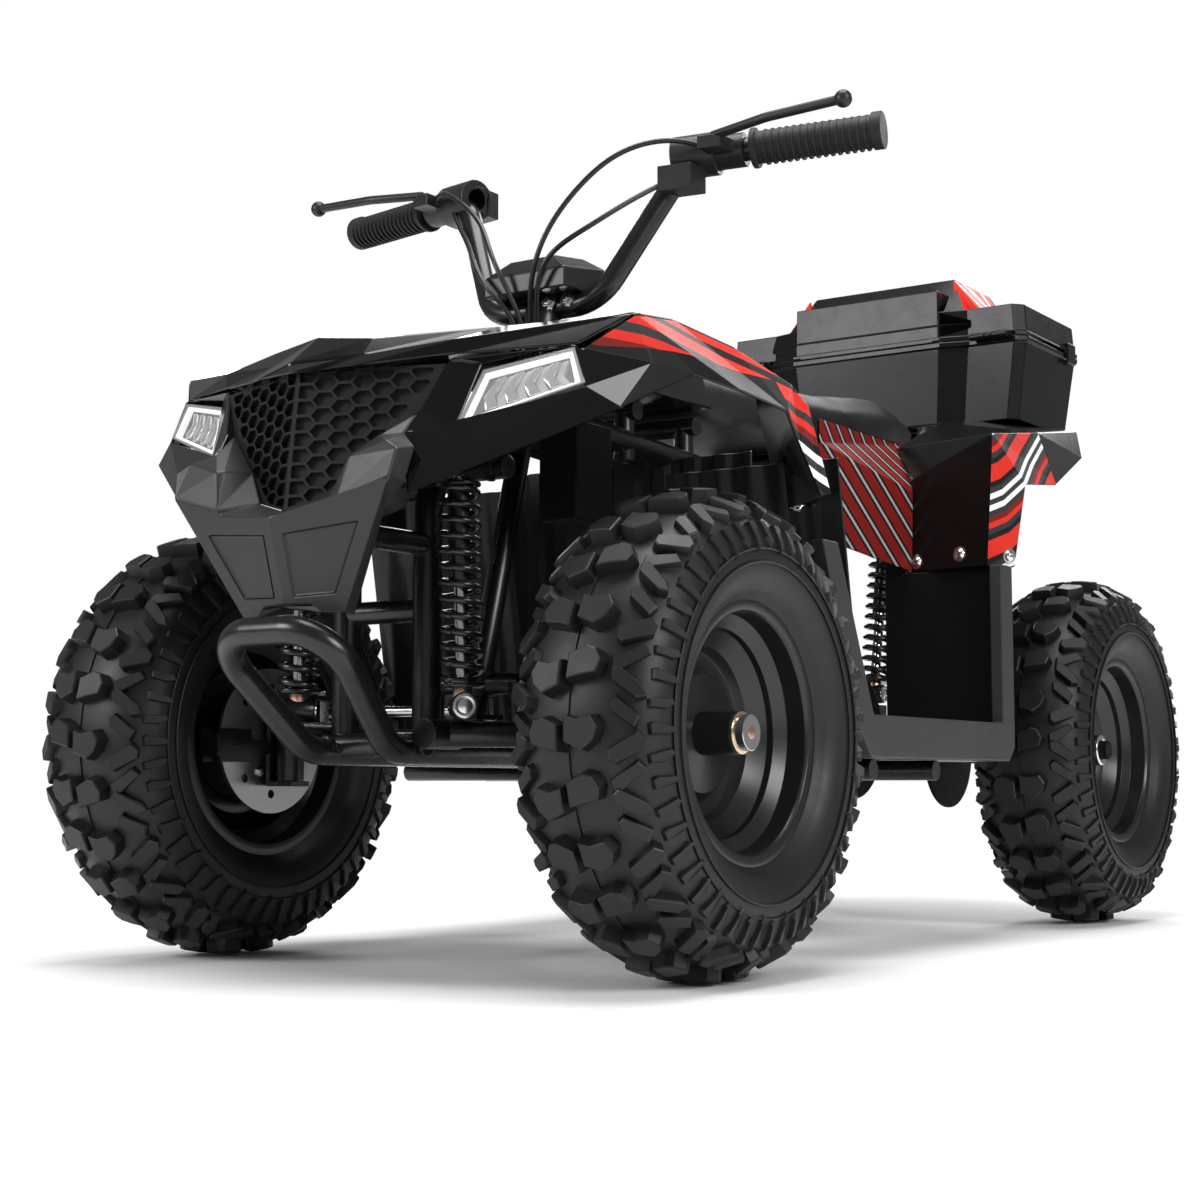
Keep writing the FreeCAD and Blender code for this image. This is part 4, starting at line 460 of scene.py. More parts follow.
def rounding(width, angle=25, segments=2, **more):
    """Bevel that rounds every edge sharper than an angle."""
    return "BEVEL", dict(width=width * mm, segments=segments, limit_method="ANGLE",
                         angle_limit=math.radians(angle), **more)


def merged(node):
    """A CAD mesh with its triangles joined and its flat faces whole."""
    form = bmesh.new()
    form.from_mesh(nodes[node].data)
    bmesh.ops.remove_doubles(form, verts=form.verts, dist=1e-6)
    bmesh.ops.dissolve_limit(form, angle_limit=math.radians(1), verts=form.verts, edges=form.edges)
    return mesh_of(form, node + "_copy")


def search_tree(meshes):
    """A tree of some meshes' faces, for rays and nearest points."""
    points, faces = [], []
    for mesh in meshes:
        start = len(points)
        points += [vertex.co.copy() for vertex in mesh.vertices]
        faces += [tuple(start + number for number in face.vertices) for face in mesh.polygons]
    return BVHTree.FromPolygons(points, faces)


def dressed(node, width, paints=()):
    """Replaces a CAD node by its copy with rounded edges; paints give chosen faces another material."""
    mesh = merged(node)
    slot = slot_of_node[node]
    mesh.materials.clear()
    mesh.materials.append(patterns[BASE_COATS[node]] if node in BASE_COATS else finishes[slot])
    for number, (pattern, chosen) in enumerate(paints, 1):
        mesh.materials.append(patterns[pattern])
        for face in mesh.polygons:
            if chosen(face.center, face.normal):
                face.material_index = number
    mesh = flattened(mesh, rounding(width, DRESSED_ANGLE, use_clamp_overlap=False))
    surface = search_tree([nodes[node].data])
    for vertex in mesh.vertices:
        place, _, _, distance = surface.find_nearest(vertex.co)
        if distance > STRAY_SHARE * width * mm:
            vertex.co = place
    mesh = flattened(mesh, ("WEIGHTED_NORMAL", {"keep_sharp": True}))
    made = finished(node + "_dressed", mesh, body_of_node[node], slot, smooth=0)
    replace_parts(made, node)
    return made


print("faces of the hood before rounding", len(merged("hood").polygons))

# %% [markdown]
# Many parts of the bike repeat one small form: tread blocks, bolts, nuts, the rings on a grip. Geometry
# Nodes suit them, because one tree puts the same form on any set of points. The helpers here build such
# a tree with named inputs, run it on a mesh, and put copies of a wheel's mesh at their places.

# %% Tools for forms that repeat


def repeat_tree(name, build, **inputs):
    """A Geometry Nodes tree whose extra inputs are given as name and socket type."""
    tree = bpy.data.node_groups.new(name, "GeometryNodeTree")
    tree.interface.new_socket("Geometry", in_out="INPUT", socket_type="NodeSocketGeometry")
    for label, kind in inputs.items():
        tree.interface.new_socket(label, in_out="INPUT", socket_type="NodeSocket" + kind)
    tree.interface.new_socket("Material", in_out="INPUT", socket_type="NodeSocketMaterial")
    tree.interface.new_socket("Geometry", in_out="OUTPUT", socket_type="NodeSocketGeometry")
    start = tree.nodes.new("NodeGroupInput")
    end = tree.nodes.new("NodeGroupOutput")

    def add(kind, settings=None, **sockets):
        """Adds a node and fills its inputs by name, or by number as i0 and i1."""
        made = tree.nodes.new(kind)
        for key, value in (settings or {}).items():
            setattr(made, key, value)
        for key, value in sockets.items():
            numbered = key[0] == "i" and key[1:].isdigit()
            fill(tree, made.inputs[int(key[1:]) if numbered else key.replace("_", " ")], value)
        return made.outputs

    shape = build(add, start.outputs)
    whole = add("GeometryNodeRealizeInstances", Geometry=shape)["Geometry"]
    painted = add("GeometryNodeSetMaterial", Geometry=whole, Material=start.outputs["Material"])["Geometry"]
    tree.links.new(painted, end.inputs["Geometry"])
    return tree


def grown(tree, source, material, **values):
    """Runs a tree on a mesh and returns the plain mesh that it makes."""
    holder = linked("holder", source)
    modifier = holder.modifiers.new("growth", "NODES")
    modifier.node_group = tree
    sockets = {item.name: item.identifier for item in tree.interface.items_tree if item.in_out == "INPUT"}
    for label, value in dict(values, Material=material).items():
        modifier[sockets[label]] = value
    return baked(holder)


def around_axle(add, given):
    """Copies of the geometry, turned in equal steps about the X axis."""
    points = add("GeometryNodePoints", Count=given["Count"])["Points"]
    index = add("GeometryNodeInputIndex")["Index"]
    step = add("ShaderNodeMath", {"operation": "DIVIDE"}, i0=math.tau, i1=given["Count"])["Value"]
    turn = add("ShaderNodeMath", {"operation": "MULTIPLY"}, i0=index, i1=step)["Value"]
    angles = add("ShaderNodeCombineXYZ", X=turn)["Vector"]
    shape = given["Geometry"]
    return add("GeometryNodeInstanceOnPoints", Points=points, Instance=shape, Rotation=angles)["Instances"]


def placed(mesh, matrix):
    """A copy of a mesh, moved by a matrix."""
    copy = mesh.copy()
    copy.transform(matrix)
    return copy


def moved(mesh, place, turn=0.0, mirror=False):
    """A copy of a wheel's mesh, put at its place; mirror swaps left and right."""
    flip = Matrix.Scale(-1, 4, (1, 0, 0)) if mirror else Matrix()
    copy = placed(mesh, Matrix.Translation(place) @ flip @ Matrix.Rotation(turn, 4, "X"))
    if mirror:
        copy.flip_normals()
    return copy


axle_ring = repeat_tree("around_axle", around_axle, Count="Int")
print("tree", axle_ring.name, "nodes", len(axle_ring.nodes))

# %% [markdown]
# The tyre is a balloon tyre for soft ground. Its carcass is round, and blocks of rubber stand on it:
# pairs of angular blocks along the middle, long blocks beside them, and small notched ones over the
# shoulder. One pitch of the tread is drawn as outlines on the unrolled surface and raised along its
# normals. Geometry Nodes then repeat that pitch around the axle, because a tread is the same block
# pattern over and over, and the carcass is one profile that is spun.

# %% Tyre carcass and tread
tyre_radius = 203.0
tread_height = 12.4
shoulder_height = 3.4
pitches = 13
carcass_steps = 104
CARCASS = [(49.5, 104), (50.5, 111), (55, 113.5), (60, 119), (65.5, 130), (67.3, 143), (66, 155),
           (61.5, 166.5), (53.5, 176), (43.5, 182.5), (30, 187.4), (15, 189.8), (0, 190.5)]
WALL_RINGS = (137.0, 148.0)
FINER = ("SUBSURF", {"levels": 1, "render_levels": 1})


def round_axle(place, radius, angle):
    """Point at a place along X, a radius and an angle about the X axis, in metres."""
    return Vector((place, -radius * math.sin(angle), radius * math.cos(angle))) * mm


def profile_point(along):
    """Place across, radius and outward direction on the carcass, at a length from the crown."""
    points = [Vector(point) for point in reversed(CARCASS)]
    for one, two in zip(points, points[1:]):
        run = (two - one).length
        if along <= run or two == points[-1]:
            break
        along -= run
    way = (two - one) / run
    place = one + way * along
    return place.x, place.y, Vector((-way.y, way.x))


def tread_point(across, round_tread, height):
    """Point over the carcass: across and round are lengths on the unrolled tread, in mm."""
    side = 1 if across >= 0 else -1
    place, radius, out = profile_point(abs(across))
    return round_axle(side * (place + out.x * height), radius + out.y * height, round_tread / tyre_radius)


def walls(form, one, two, count=None):
    """Faces between two like loops of points, all round or for a count of steps."""
    for number in range(len(one) if count is None else count):
        after = (number + 1) % len(one)
        form.faces.new((one[number], one[after], two[after], two[number]))


def block(form, outline, height):
    """Tread block with tapered walls and a chamfered top."""
    middle = sum((Vector(point) for point in outline), Vector((0, 0))) / len(outline)
    rings = []
    for share, lift in ((1.06, -1.5), (0.9, height - 0.9), (0.82, height)):
        ring = [middle + (Vector(point) - middle) * share for point in outline]
        rings.append([form.verts.new(tread_point(spot.x, spot.y, lift)) for spot in ring])
    for low, high in zip(rings, rings[1:]):
        walls(form, low, high)
    form.faces.new(rings[-1])
    form.faces.new(rings[0][::-1])


def spun(profile, count, closed=False):
    """Profile of place along X and radius, in mm, turned about the X axis."""
    form = bmesh.new()
    angles = [math.tau * number / count for number in range(count)]
    rings = [[form.verts.new(round_axle(place, radius, angle)) for place, radius in profile] for angle in angles]
    for one, two in zip(rings, rings[1:] + rings[:1]):
        walls(form, one, two, len(profile) if closed else len(profile) - 1)
    bmesh.ops.remove_doubles(form, verts=form.verts, dist=1e-7)
    return mesh_of(form, "spun", closed=True)


MIDDLE_BLOCKS = [
    [(1.0, -10), (16, -17), (24, -15), (30, -4), (27, 6), (13, 9), (1.0, 12)],
    [(1.0, -12), (12, -9), (25, -12), (31, -2), (27, 9), (17, 17), (1.0, 10)]]
LONG_BLOCKS = [
    [(34, -11), (39, -15), (58, 2), (61, 11), (54, 13), (35, -2)],
    [(33, 4), (56, -11), (61, -4), (60, 5), (39, 17), (34, 13)]]
SHOULDER_BLOCKS = [
    [(63, -7), (67, -9), (85, -5), (91, 1), (81, 3), (64, 3)],
    [(62, -4), (71, -6), (83, -8), (87, -3), (79, 3), (63, 4)]]


def tread_pitch():
    """One pitch of blocks, two rows on each side of the seam, each shifted by shares of the pitch."""
    form = bmesh.new()
    length = math.tau * tyre_radius / pitches
    for row, side in ((0, 1), (0, -1), (1, 1), (1, -1)):
        start = length * (row * 0.5 + (0 if side > 0 else 0.06))
        kind = row if side > 0 else 1 - row
        other = LONG_BLOCKS[1 - kind]
        for outline, height, shift in ((MIDDLE_BLOCKS[kind], tread_height, 0),
                                       (LONG_BLOCKS[kind], tread_height * 0.72, 0.12),
                                       (other[:3] + other[4:], tread_height * 0.5, -0.13),
                                       (SHOULDER_BLOCKS[0], shoulder_height, 0.02),
                                       (SHOULDER_BLOCKS[1], shoulder_height, 0.27)):
            spots = [(side * across, start + length * shift + spot) for across, spot in outline]
            block(form, spots if side > 0 else spots[::-1], height)
    return mesh_of(form, "tread_pitch", closed=True)


def joined(*meshes):
    """Several meshes as one."""
    form = bmesh.new()
    for mesh in meshes:
        form.from_mesh(mesh)
    return mesh_of(form, "joined")


def wall_ring(side, radius):
    """A thin raised ring on the tyre's wall."""
    return spun([(side * 67.9, radius), (side * 68.4, radius + 1.0), (side * 67.9, radius + 2.0),
                 (side * 66.5, radius + 1.0)], carcass_steps, closed=True)


both_sides = CARCASS + [(-place, radius) for place, radius in CARCASS[-2::-1]]
carcass = flattened(spun(both_sides, carcass_steps, closed=True), FINER)
seam = spun([(-0.6, 189.0), (-0.6, 191.6), (0.6, 191.6), (0.6, 189.0)], carcass_steps, closed=True)
rings = [wall_ring(side, radius) for side in (1, -1) for radius in WALL_RINGS]
tread = grown(axle_ring, tread_pitch(), finishes["tyre"], Count=pitches)
tyre_mesh = joined(carcass, seam, tread, *rings)
print("tyre faces", len(tyre_mesh.polygons))

# %% [markdown]
# The wheels are pressed steel, painted black: a rolled lip, a drop centre, and a dish with two steps
# around a hub tube. All of that is one profile, so it is spun about the axle like the carcass. A left
# wheel's mesh is mirrored for the right, and each tyre is turned by its own angle, so that the treads
# of two tyres don't look alike.

# %% Wheels
wheels = {"front": (0.265, front_axle_y), "rear": (0.2515, rear_axle_y)}
hub_tubes = {"front": (38, -49, 9), "rear": (24.5, -24.5, 15)}


def rim_profile(hub_out, hub_in, bore):
    """Places along X and radii of a rim, in mm, from its outer lip round by the inside of the dish."""
    return [(49, 105), (49, 109), (48.5, 109.5), (46.5, 109.5), (45.5, 108.5), (45.5, 101.5), (27, 101.5),
            (20, 89.5), (-20, 89.5), (-27, 101.5), (-45.5, 101.5), (-45.5, 109.5), (-49, 109.5), (-49, 98),
            (-28, 98), (-21, 86), (11.5, 86), (-0.5, 71.5), (-9, 69), (-9, 58.5), (-0.5, 51), (-0.5, 18),
            (hub_in, 18), (hub_in, bore), (hub_out, bore), (hub_out, 18), (3, 18), (3, 49), (-5.5, 56.5),
            (-5.5, 69), (3, 72.5), (15, 86), (21, 86), (28, 98), (45, 98), (48, 100)]


rim_meshes = {end: flattened(spun(rim_profile(*tube), 96, closed=True), rounding(1.6, 14))
              for end, tube in hub_tubes.items()}
wheel_places = [(end, side_name, side, (side * track, axle, axle_height))
                for end, (track, axle) in wheels.items() for side_name, side in sides_of_bike]
for end, side_name, side, place in wheel_places:
    node = f"{end}_tyre_{side_name}"
    turn = 0.37 * side + (0.2 if end == "rear" else 0)
    rubber = moved(tyre_mesh, place, turn, side < 0)
    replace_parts(finished(node + "_tread", rubber, body_of_node[node], "tyre", smooth=24), node)
for end, side_name, side, place in wheel_places:
    node = f"{end}_rim_{side_name}"
    steel = moved(rim_meshes[end], place, 0, side < 0)
    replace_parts(finished(node + "_turned", steel, body_of_node[node], "wheel_black", smooth=30), node)
print("rim faces", len(rim_meshes["front"].polygons))

# %% [markdown]
# The bodywork is folded from flat facets, and so are the tubes and blocks under it. Every such node gets
# its rounded edges here, wider on thick mouldings and narrower on thin steel. The striped film lies on
# some facets only, so a short rule for each panel picks them by their place and the way they face.

# %% Bodywork with rounded edges


def outward(centre, way):
    """A face that looks away from the bike's middle."""
    return way.x * centre.x > 0


def fender_band(centre, way):
    """The outer bevel of a front fender, from its top down its back edge."""
    return outward(centre, way) and abs(way.x) > 0.7 and centre.y > -0.52 and abs(centre.x) > 0.24


def side_band(centre, way):
    """The outer face of a side panel."""
    return outward(centre, way) and abs(way.x) > 0.5


def post_band(centre, way):
    """The outer face of the rear fender, above the footwell."""
    return outward(centre, way) and abs(way.x) > 0.6 and abs(centre.x) > 0.262 and centre.z > 0.36


def lid_band(centre, way):
    """The sloping side faces of the lid."""
    return outward(centre, way) and abs(way.x) > 0.7 and way.z > 0.3


def spindle_end(centre, way):
    """The nut on the end of a front spindle."""
    return abs(centre.x) > 0.3032


STRIPED = {
    "front_fender_left": [("fender", fender_band)], "front_fender_right": [("fender", fender_band)],
    "front_knuckle_left": [("chrome", spindle_end)], "front_knuckle_right": [("chrome", spindle_end)],
    "side_panels": [("side", side_band)], "rear_fender": [("post", post_band)],
    "box_lid": [("lid", lid_band)]}
# The shade coat is painted shade: a dull near-black with little sheen for the battery box, the engine and the
# rear axle, which sit in shade under the bodywork; the axle is black itself as well.
BASE_COATS = {"battery_box": "shade", "engine": "shade", "rear_axle": "shade", "rear_fender": "fender_gloss"}
ROUNDED = {
    "hood": 1.4, "front_mask": 1.6, "front_fender_left": 1.3, "front_fender_right": 1.3, "rear_fender": 1.3,
    "side_panels": 1.0, "console": 2.5, "box_base": 1.2, "box_lid": 1.1, "battery_box": 2.0,
    "footwell_left": 1.3, "footwell_right": 1.3, "foot_frame_left": 1.6, "foot_frame_right": 1.6,
    "bar_pod": 1.6, "engine": 3.0, "frame": 0.6, "nudge_bar": 0.6, "handlebar": 0.6, "front_arms": 0.6,
    "swingarm": 1.0, "controls_left": 0.7, "controls_right": 0.7, "grips": 0.8, "front_knuckle_left": 0.7,
    "front_knuckle_right": 0.7, "rear_axle": 0.8, "tie_rod_left": 0.5, "tie_rod_right": 0.5,
    "front_brake_disc_left": 0.3, "front_brake_disc_right": 0.3, "control_cables": 0.0}
for node, width in ROUNDED.items():
    piece = dressed(node, width, STRIPED.get(node, ()))
    print(node, len(piece.data.polygons))

# %% [markdown]
# Behind the wheels the arch is dark, partly from the bike's own black inner liner and partly from shade.
# Thin black sheets like splash shields stand there as painted shade and fill the view through the wheel
# arch with black. Each is a small sheet with pressed ribs, given its thickness by Solidify. A plain
# sheet on the inner wall of each footwell is painted shade too, and closes the gap towards the rear shock.

# %% Splash shields and sheets of painted shade
SHEET_THICKNESS = 2.5
RIB_PITCH = 18
SHIELD_FOOT = 200
SHIELD_RISE = 290


def from_axle(place):
    """A place given in mm from the front axle's line, in metres of the row frame."""
    return Vector(place) * mm + Vector((0, front_axle_y, 0))


def spaced(low, high, count):
    """Numbers from low to high in equal steps."""
    return [low + (high - low) * number / (count - 1) for number in range(count)]


def shield_point(across, rise, foot, lean, rib):
    """A point of a shield that leans from its foot, with vertical ribs pressed into it."""
    depth = rib if int(abs(across) / RIB_PITCH) % 2 else 0.0
    return from_axle((across, foot - lean * rise + depth, SHIELD_FOOT + SHIELD_RISE * rise))


def shade_lip_point(across, rise):
    """A point of the upright sheet of painted shade on a footwell's wall."""
    return Vector((across, 165, 232 + 218 * rise)) * mm


def grid_sheet(name, width_points, rise_points, bend):
    """A thin sheet over two lists of numbers; bend gives the place for a pair of them."""
    form = bmesh.new()
    rows = [[form.verts.new(bend(across, rise)) for across in width_points] for rise in rise_points]
    for low, high in zip(rows, rows[1:]):
        walls(form, low, high, len(low) - 1)
    mesh = flattened(mesh_of(form, name), ("SOLIDIFY", {"thickness": SHEET_THICKNESS * mm, "offset": 0.0}),
                     rounding(0.6, 50, 1))
    print(name, "faces", len(mesh.polygons))
    return finished(name, mesh, "chassis", "satin_plastic", smooth=30)


# The shields are partly painted shade: black sheets where the arch is dark from the inner liner and from shade.
grid_sheet("shield_middle", spaced(-150, 150, 51), [0, 0.06, 0.5, 0.94, 1],
           lambda across, rise: shield_point(across, rise, 296, 4, 4))
for side_name, side in sides_of_bike:
    across_side = [side * x for x in spaced(96, 283, 33)][::side]
    grid_sheet("shield_" + side_name, across_side, [0, 0.06, 0.45, 0.8, 0.9],
               lambda across, rise: shield_point(across, rise, 262, 52, 3))
# The footwell sheets are painted shade: they fill the gap beside the rear shock with black.
for side_name, side in sides_of_bike:
    across_lip = [side * x for x in (147, 160, 173)][::side]
    grid_sheet("footwell_lip_" + side_name, across_lip, [0, 0.5, 1], shade_lip_point)

# %% [markdown]
# Small hardware catches the eye because it is the only bright metal on a black machine. Bolts are
# placed where the photograph shows them: a ray from the camera through the pixel finds the panel that
# carries the bolt, and the bolt stands on that point along the panel's normal. Geometry Nodes put the
# same head on every point.

# %% Bolts
PHOTO_SIZE = 1200
PIXEL_SHIFTS = (0, -4, 4, -8, 8, -12, 12, -18, -24, -30)
PANEL_BOLTS = {"fender": (828, 507), "panel_inner": (917, 562), "panel_middle": (960, 554),
               "panel_outer": (1009, 556)}
STEM_NUTS = ((567, 300), (549, 303))
STEM_WAY = Vector((0, -0.96, 0.28))


def pixel_way(across, down):
    """Direction of the camera's ray through a pixel of the photograph."""
    scale = camera_data.sensor_width / camera_data.lens / PHOTO_SIZE
    way = Vector(((across - PHOTO_SIZE / 2) * scale, (PHOTO_SIZE / 2 - down) * scale, -1))
    way.rotate(camera.rotation_euler)
    return way.normalized()


def seen_at(tree, across, down):
    """Point and normal where the camera's ray through a pixel, or the nearest that hits, meets a tree."""
    for shift in PIXEL_SHIFTS:
        place, normal, _, _ = tree.ray_cast(camera.location, pixel_way(across + shift, down))
        if place:
            return place, normal
    raise ValueError("no panel under the pixel")


def on_points(add, given):
    """Copies of a shape on points, each with its Z axis along the point's stored direction."""
    stored = add("GeometryNodeInputNamedAttribute", {"data_type": "FLOAT_VECTOR"}, Name="facing")
    facing = stored["Attribute"]
    turn = add("FunctionNodeAlignRotationToVector", {"axis": "Z"}, Vector=facing)["Rotation"]
    shape = add("GeometryNodeObjectInfo", Object=given["Shape"])["Geometry"]
    points = add("GeometryNodeMeshToPoints", Mesh=given["Geometry"])["Points"]
    return add("GeometryNodeInstanceOnPoints", Points=points, Instance=shape, Rotation=turn)["Instances"]


point_tree = repeat_tree("on_points", on_points, Shape="Object")


def scattered(name, spots, shape, body, slot, material=None):
    """A shape's copies at spots, which are pairs of a place and a direction."""
    cloud = bpy.data.meshes.new(name + "_points")
    cloud.from_pydata([place for place, _ in spots], [], [])
    facing = cloud.attributes.new("facing", "FLOAT_VECTOR", "POINT")
    for number, (_, way) in enumerate(spots):
        facing.data[number].vector = way
    holder = linked("shape", shape)
    mesh = grown(point_tree, cloud, material or finishes[slot], Shape=holder)
    bpy.data.objects.remove(holder)
    print(name, "copies", len(spots))
    return finished(name, mesh, body, slot, material, smooth=30)


def turned(profile, count, bevel=0.0):
    """Profile of radius and height, in mm, turned about the Z axis."""
    mesh = spun([(height, radius) for radius, height in profile], count, closed=profile[0][0] > 0)
    mesh.transform(Matrix.Rotation(-math.pi / 2, 4, "Y"))
    return flattened(mesh, rounding(bevel)) if bevel else mesh


bolt_head = turned([(0, 4.2), (1.6, 4.2), (1.6, 2.6), (2.4, 2.6), (2.6, 4.0), (4.2, 3.2), (5.6, 1.6),
                    (6.0, 0.9), (8.2, 0.8), (8.2, -0.5), (0, -0.5)], 24)
nut_head = turned([(0, 6), (3.2, 6), (3.2, 4.6), (5.2, 4.6), (6.2, 4.0), (6.2, 0.6), (8.6, 0.5),
                   (8.6, -0.5), (0, -0.5)], 6)
panels = ("rear_fender", "front_fender_left", "footwell_left", "foot_frame_left")
panel_tree = search_tree([nodes[name].data for name in panels])
spots = []
for label, pixel in PANEL_BOLTS.items():
    place, way = seen_at(panel_tree, *pixel)
    print("bolt", label, [round(value, 3) for value in place])
    spots += [(place, way), (Vector((-place.x, place.y, place.z)), Vector((-way.x, way.y, way.z)))]
scattered("panel_bolts", spots, bolt_head, "chassis", "bright_steel", chrome)
stem_tree = search_tree([nodes["handlebar"].data, nodes["bar_pod"].data])
spots = [(seen_at(stem_tree, *pixel)[0], STEM_WAY) for pixel in STEM_NUTS]
scattered("stem_nuts", spots, nut_head, "steering", "bright_steel", chrome)

# %% [markdown]
# Each headlamp is a clear cover over a dark bowl. Inside stand bright prisms, one behind the other, and
# a white light guide runs round the edge. The lamp's four front corners span a slightly twisted patch,
# and everything in it is placed by two shares across that patch and a depth behind it.

# %% Headlamps
LAMP_CORNERS = [(135, -163.9, 448), (231.9, -120, 481), (218.1, -115, 512), (146.1, -141.1, 497)]
INSET_RATIO = 1.6
PRISM_STARTS = (0.12, 0.3, 0.48, 0.66)
REFLECTOR_STARTS = (0.22, 0.4, 0.58, 0.76)


def lamp_point(side, across, up, depth):
    """Point at two shares of the lamp's front, some mm behind it."""
    low_in, low_out, top_out, top_in = (Vector(corner) for corner in LAMP_CORNERS)
    spot = low_in.lerp(low_out, across).lerp(top_in.lerp(top_out, across), up)
    spot -= (low_out - low_in).cross(top_in - low_in).normalized() * depth
    return from_axle((side * spot.x, spot.y, spot.z))


def prism(form, outlines):
    """Prism between a front and a back outline with the same number of corners."""
    loops = [[form.verts.new(place) for place in outline] for outline in outlines]
    form.faces.new(loops[0])
    form.faces.new(loops[1][::-1])
    walls(form, *loops)


def lamp_frame(form, side, outer, inner, near, far):
    """Frame of the lamp's own patch between two outlines and two depths."""
    loops = [[form.verts.new(lamp_point(side, *shares, depth)) for shares in outline]
             for outline, depth in ((outer, near), (inner, near), (inner, far), (outer, far))]
    for one, two in zip(loops, loops[1:] + loops[:1]):
        walls(form, one, two)


def lamp_piece(name, prisms, frames, material, bevel=0.0):
    """Prisms, as an outline and two depths, and frames, as two outlines and two depths, in both lamps."""
    form = bmesh.new()
    for side in (1, -1):
        for outline, *depths in prisms:
            prism(form, [[lamp_point(side, *shares, depth) for shares in outline] for depth in depths])
        for frame_sizes in frames:
            lamp_frame(form, side, *frame_sizes)
    mesh = mesh_of(form, name, closed=True)
    if bevel:
        mesh = flattened(mesh, rounding(bevel))
    print(name, "faces", len(mesh.polygons))
    return finished(name, mesh, "chassis", "lamp_clear", material, smooth=30)


def inset(share):
    """The lamp's outline drawn in by a share of its width."""
    low, high = share * INSET_RATIO, 1 - share * INSET_RATIO
    return [(share, low), (1 - share, low), (1 - share, high), (share, high)]


def chevron(start, width, low=0.2, high=0.8, lean=0.07):
    """Arrow-shaped bar that points towards the bike's middle."""
    middle = (low + high) / 2
    return [(start + lean, low), (start + width + lean, low), (start + width, middle),
            (start + width + lean, high), (start + lean, high), (start, middle)]


lamp_glow = Recipe("lamp_glow", roughness=0.3, base_color=grey(0.9), emission_color=(0.95, 0.97, 1, 1),
                   emission_strength=0.55)
lamp_chrome = metal("lamp_chrome", 0.82, 0.12, 0.0, (0.97, 0.98, 1.0))
lamp_silver = plastic("lamp_silver", 0.42, 0.25, 0.0, 0.5)
lamp_bowl = plastic("lamp_bowl", 0.14, 0.3, 0.0, 0.5)
lens_clear = Recipe("lens_clear", roughness=0.04, alpha=0.12, base_color=grey(0.8))
edge = inset(0.0)
bowl = lamp_piece("lamp_bowls", [(edge, 16, 22)], [(edge, inset(0.03), 1.5, 17)], lamp_bowl)
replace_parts(bowl, "headlights")
lamp_piece("lamp_guides", [], [(inset(0.035), inset(0.075), 2.5, 8)], lamp_glow.material, 0.4)
lamp_piece("lamp_prisms", [(chevron(start, 0.09), 5, 15) for start in PRISM_STARTS], [], lamp_chrome, 0.6)
lamp_piece("lamp_reflectors", [(chevron(start, 0.07, 0.15, 0.85), 9, 16) for start in REFLECTOR_STARTS], [],
           lamp_silver, 0.4)
lamp_piece("lamp_covers", [(edge, 0, 1.4)], [], lens_clear.material, 0.4)

# %% [markdown]
# At the middle of a front wheel a black hub tube carries a brass washer, a bright collar and the nut on
# the spindle. They stay with the steering knuckle while the wheel turns round them. The rear wheels
# have a silver ring with a brass centre, and four nuts, which all turn with the axle.

# %% Hubs
REAR_NUT_CIRCLE = 33
REAR_NUT_FACE = 251.5 + 3.2


def ring_of(count, circle, first=0.0):
    """Y and Z of points spaced evenly on a circle."""
    angles = [math.tau * (number + first) / count for number in range(count)]
    return [(circle * math.cos(angle), circle * math.sin(angle)) for angle in angles]


washer = turned([(8.8, 38.2), (17.6, 38.2), (17.6, 40.4), (8.8, 40.4)], 40, 0.3)
collar = turned([(8.8, 40.2), (12.5, 40.2), (12.5, 42.0), (11.2, 42.6), (11.2, 45.0), (12.6, 45.6),
                 (12.6, 47.6), (11.4, 48.6), (8.0, 48.8), (7.2, 47.9), (0, 47.9), (0, 40.2)], 40, 0.3)
cap = turned([(0, 48.0), (5.2, 48.0), (5.2, 49.4), (3.0, 49.8), (0, 49.8)], 32)
rear_ring = turned([(11, 24.6), (19, 24.6), (19, 27.2), (17.5, 28.2), (11, 28.2)], 40, 0.4)
rear_cap = turned([(0, 27), (10.6, 27), (10.6, 30.5), (8.8, 32), (5, 32), (4, 30.6), (0, 30.6)], 32, 0.3)
hub_parts = (("hub_washer", washer, "front", brass), ("hub_collar", collar, "front", chrome),
             ("hub_cap", cap, "front", copper), ("rear_hub_ring", rear_ring, "rear", chrome),
             ("rear_hub_cap", rear_cap, "rear", brass))
for side_name, side in sides_of_bike:
    outwards = Matrix.Rotation(side * math.pi / 2, 4, "Y")
    for name, mesh, end, material in hub_parts:
        track, axle = wheels[end]
        part = placed(mesh, Matrix.Translation((side * track, axle, axle_height)) @ outwards)
        body = "rear_wheels" if end == "rear" else "knuckle_" + side_name
        finished(f"{name}_{side_name}", part, body, "bright_steel", material)
rear_middle = Vector((0, rear_axle_y, axle_height))
spots = [(Vector((side * REAR_NUT_FACE, y, z)) * mm + rear_middle, Vector((side, 0, 0)))
         for side in (1, -1) for y, z in ring_of(4, REAR_NUT_CIRCLE, 0.3)]
scattered("rear_wheel_nuts", spots, nut_head, "rear_wheels", "bright_steel", chrome)

# %% [markdown]
# A shock absorber is a bright rod that slides in a black tube, inside a coil spring that is held by two
# round seats. The coil is a helix, which the Curve Spiral node draws exactly, swept with a round wire.

# %% Shock absorbers
SEAT_MARGIN = 15.0
COIL_PITCH = 13.5
SPRING_SEAT = [(0, 0), (17, 0), (19, 1.5), (19, 4), (12, 5), (12, 9), (0, 9)]
SHOCK_LOOKS = {"springs": ("spring_black", None), "rods": ("bright_steel", chrome),
               "bushes": ("bright_steel", None), "cups": ("bright_steel", copper)}


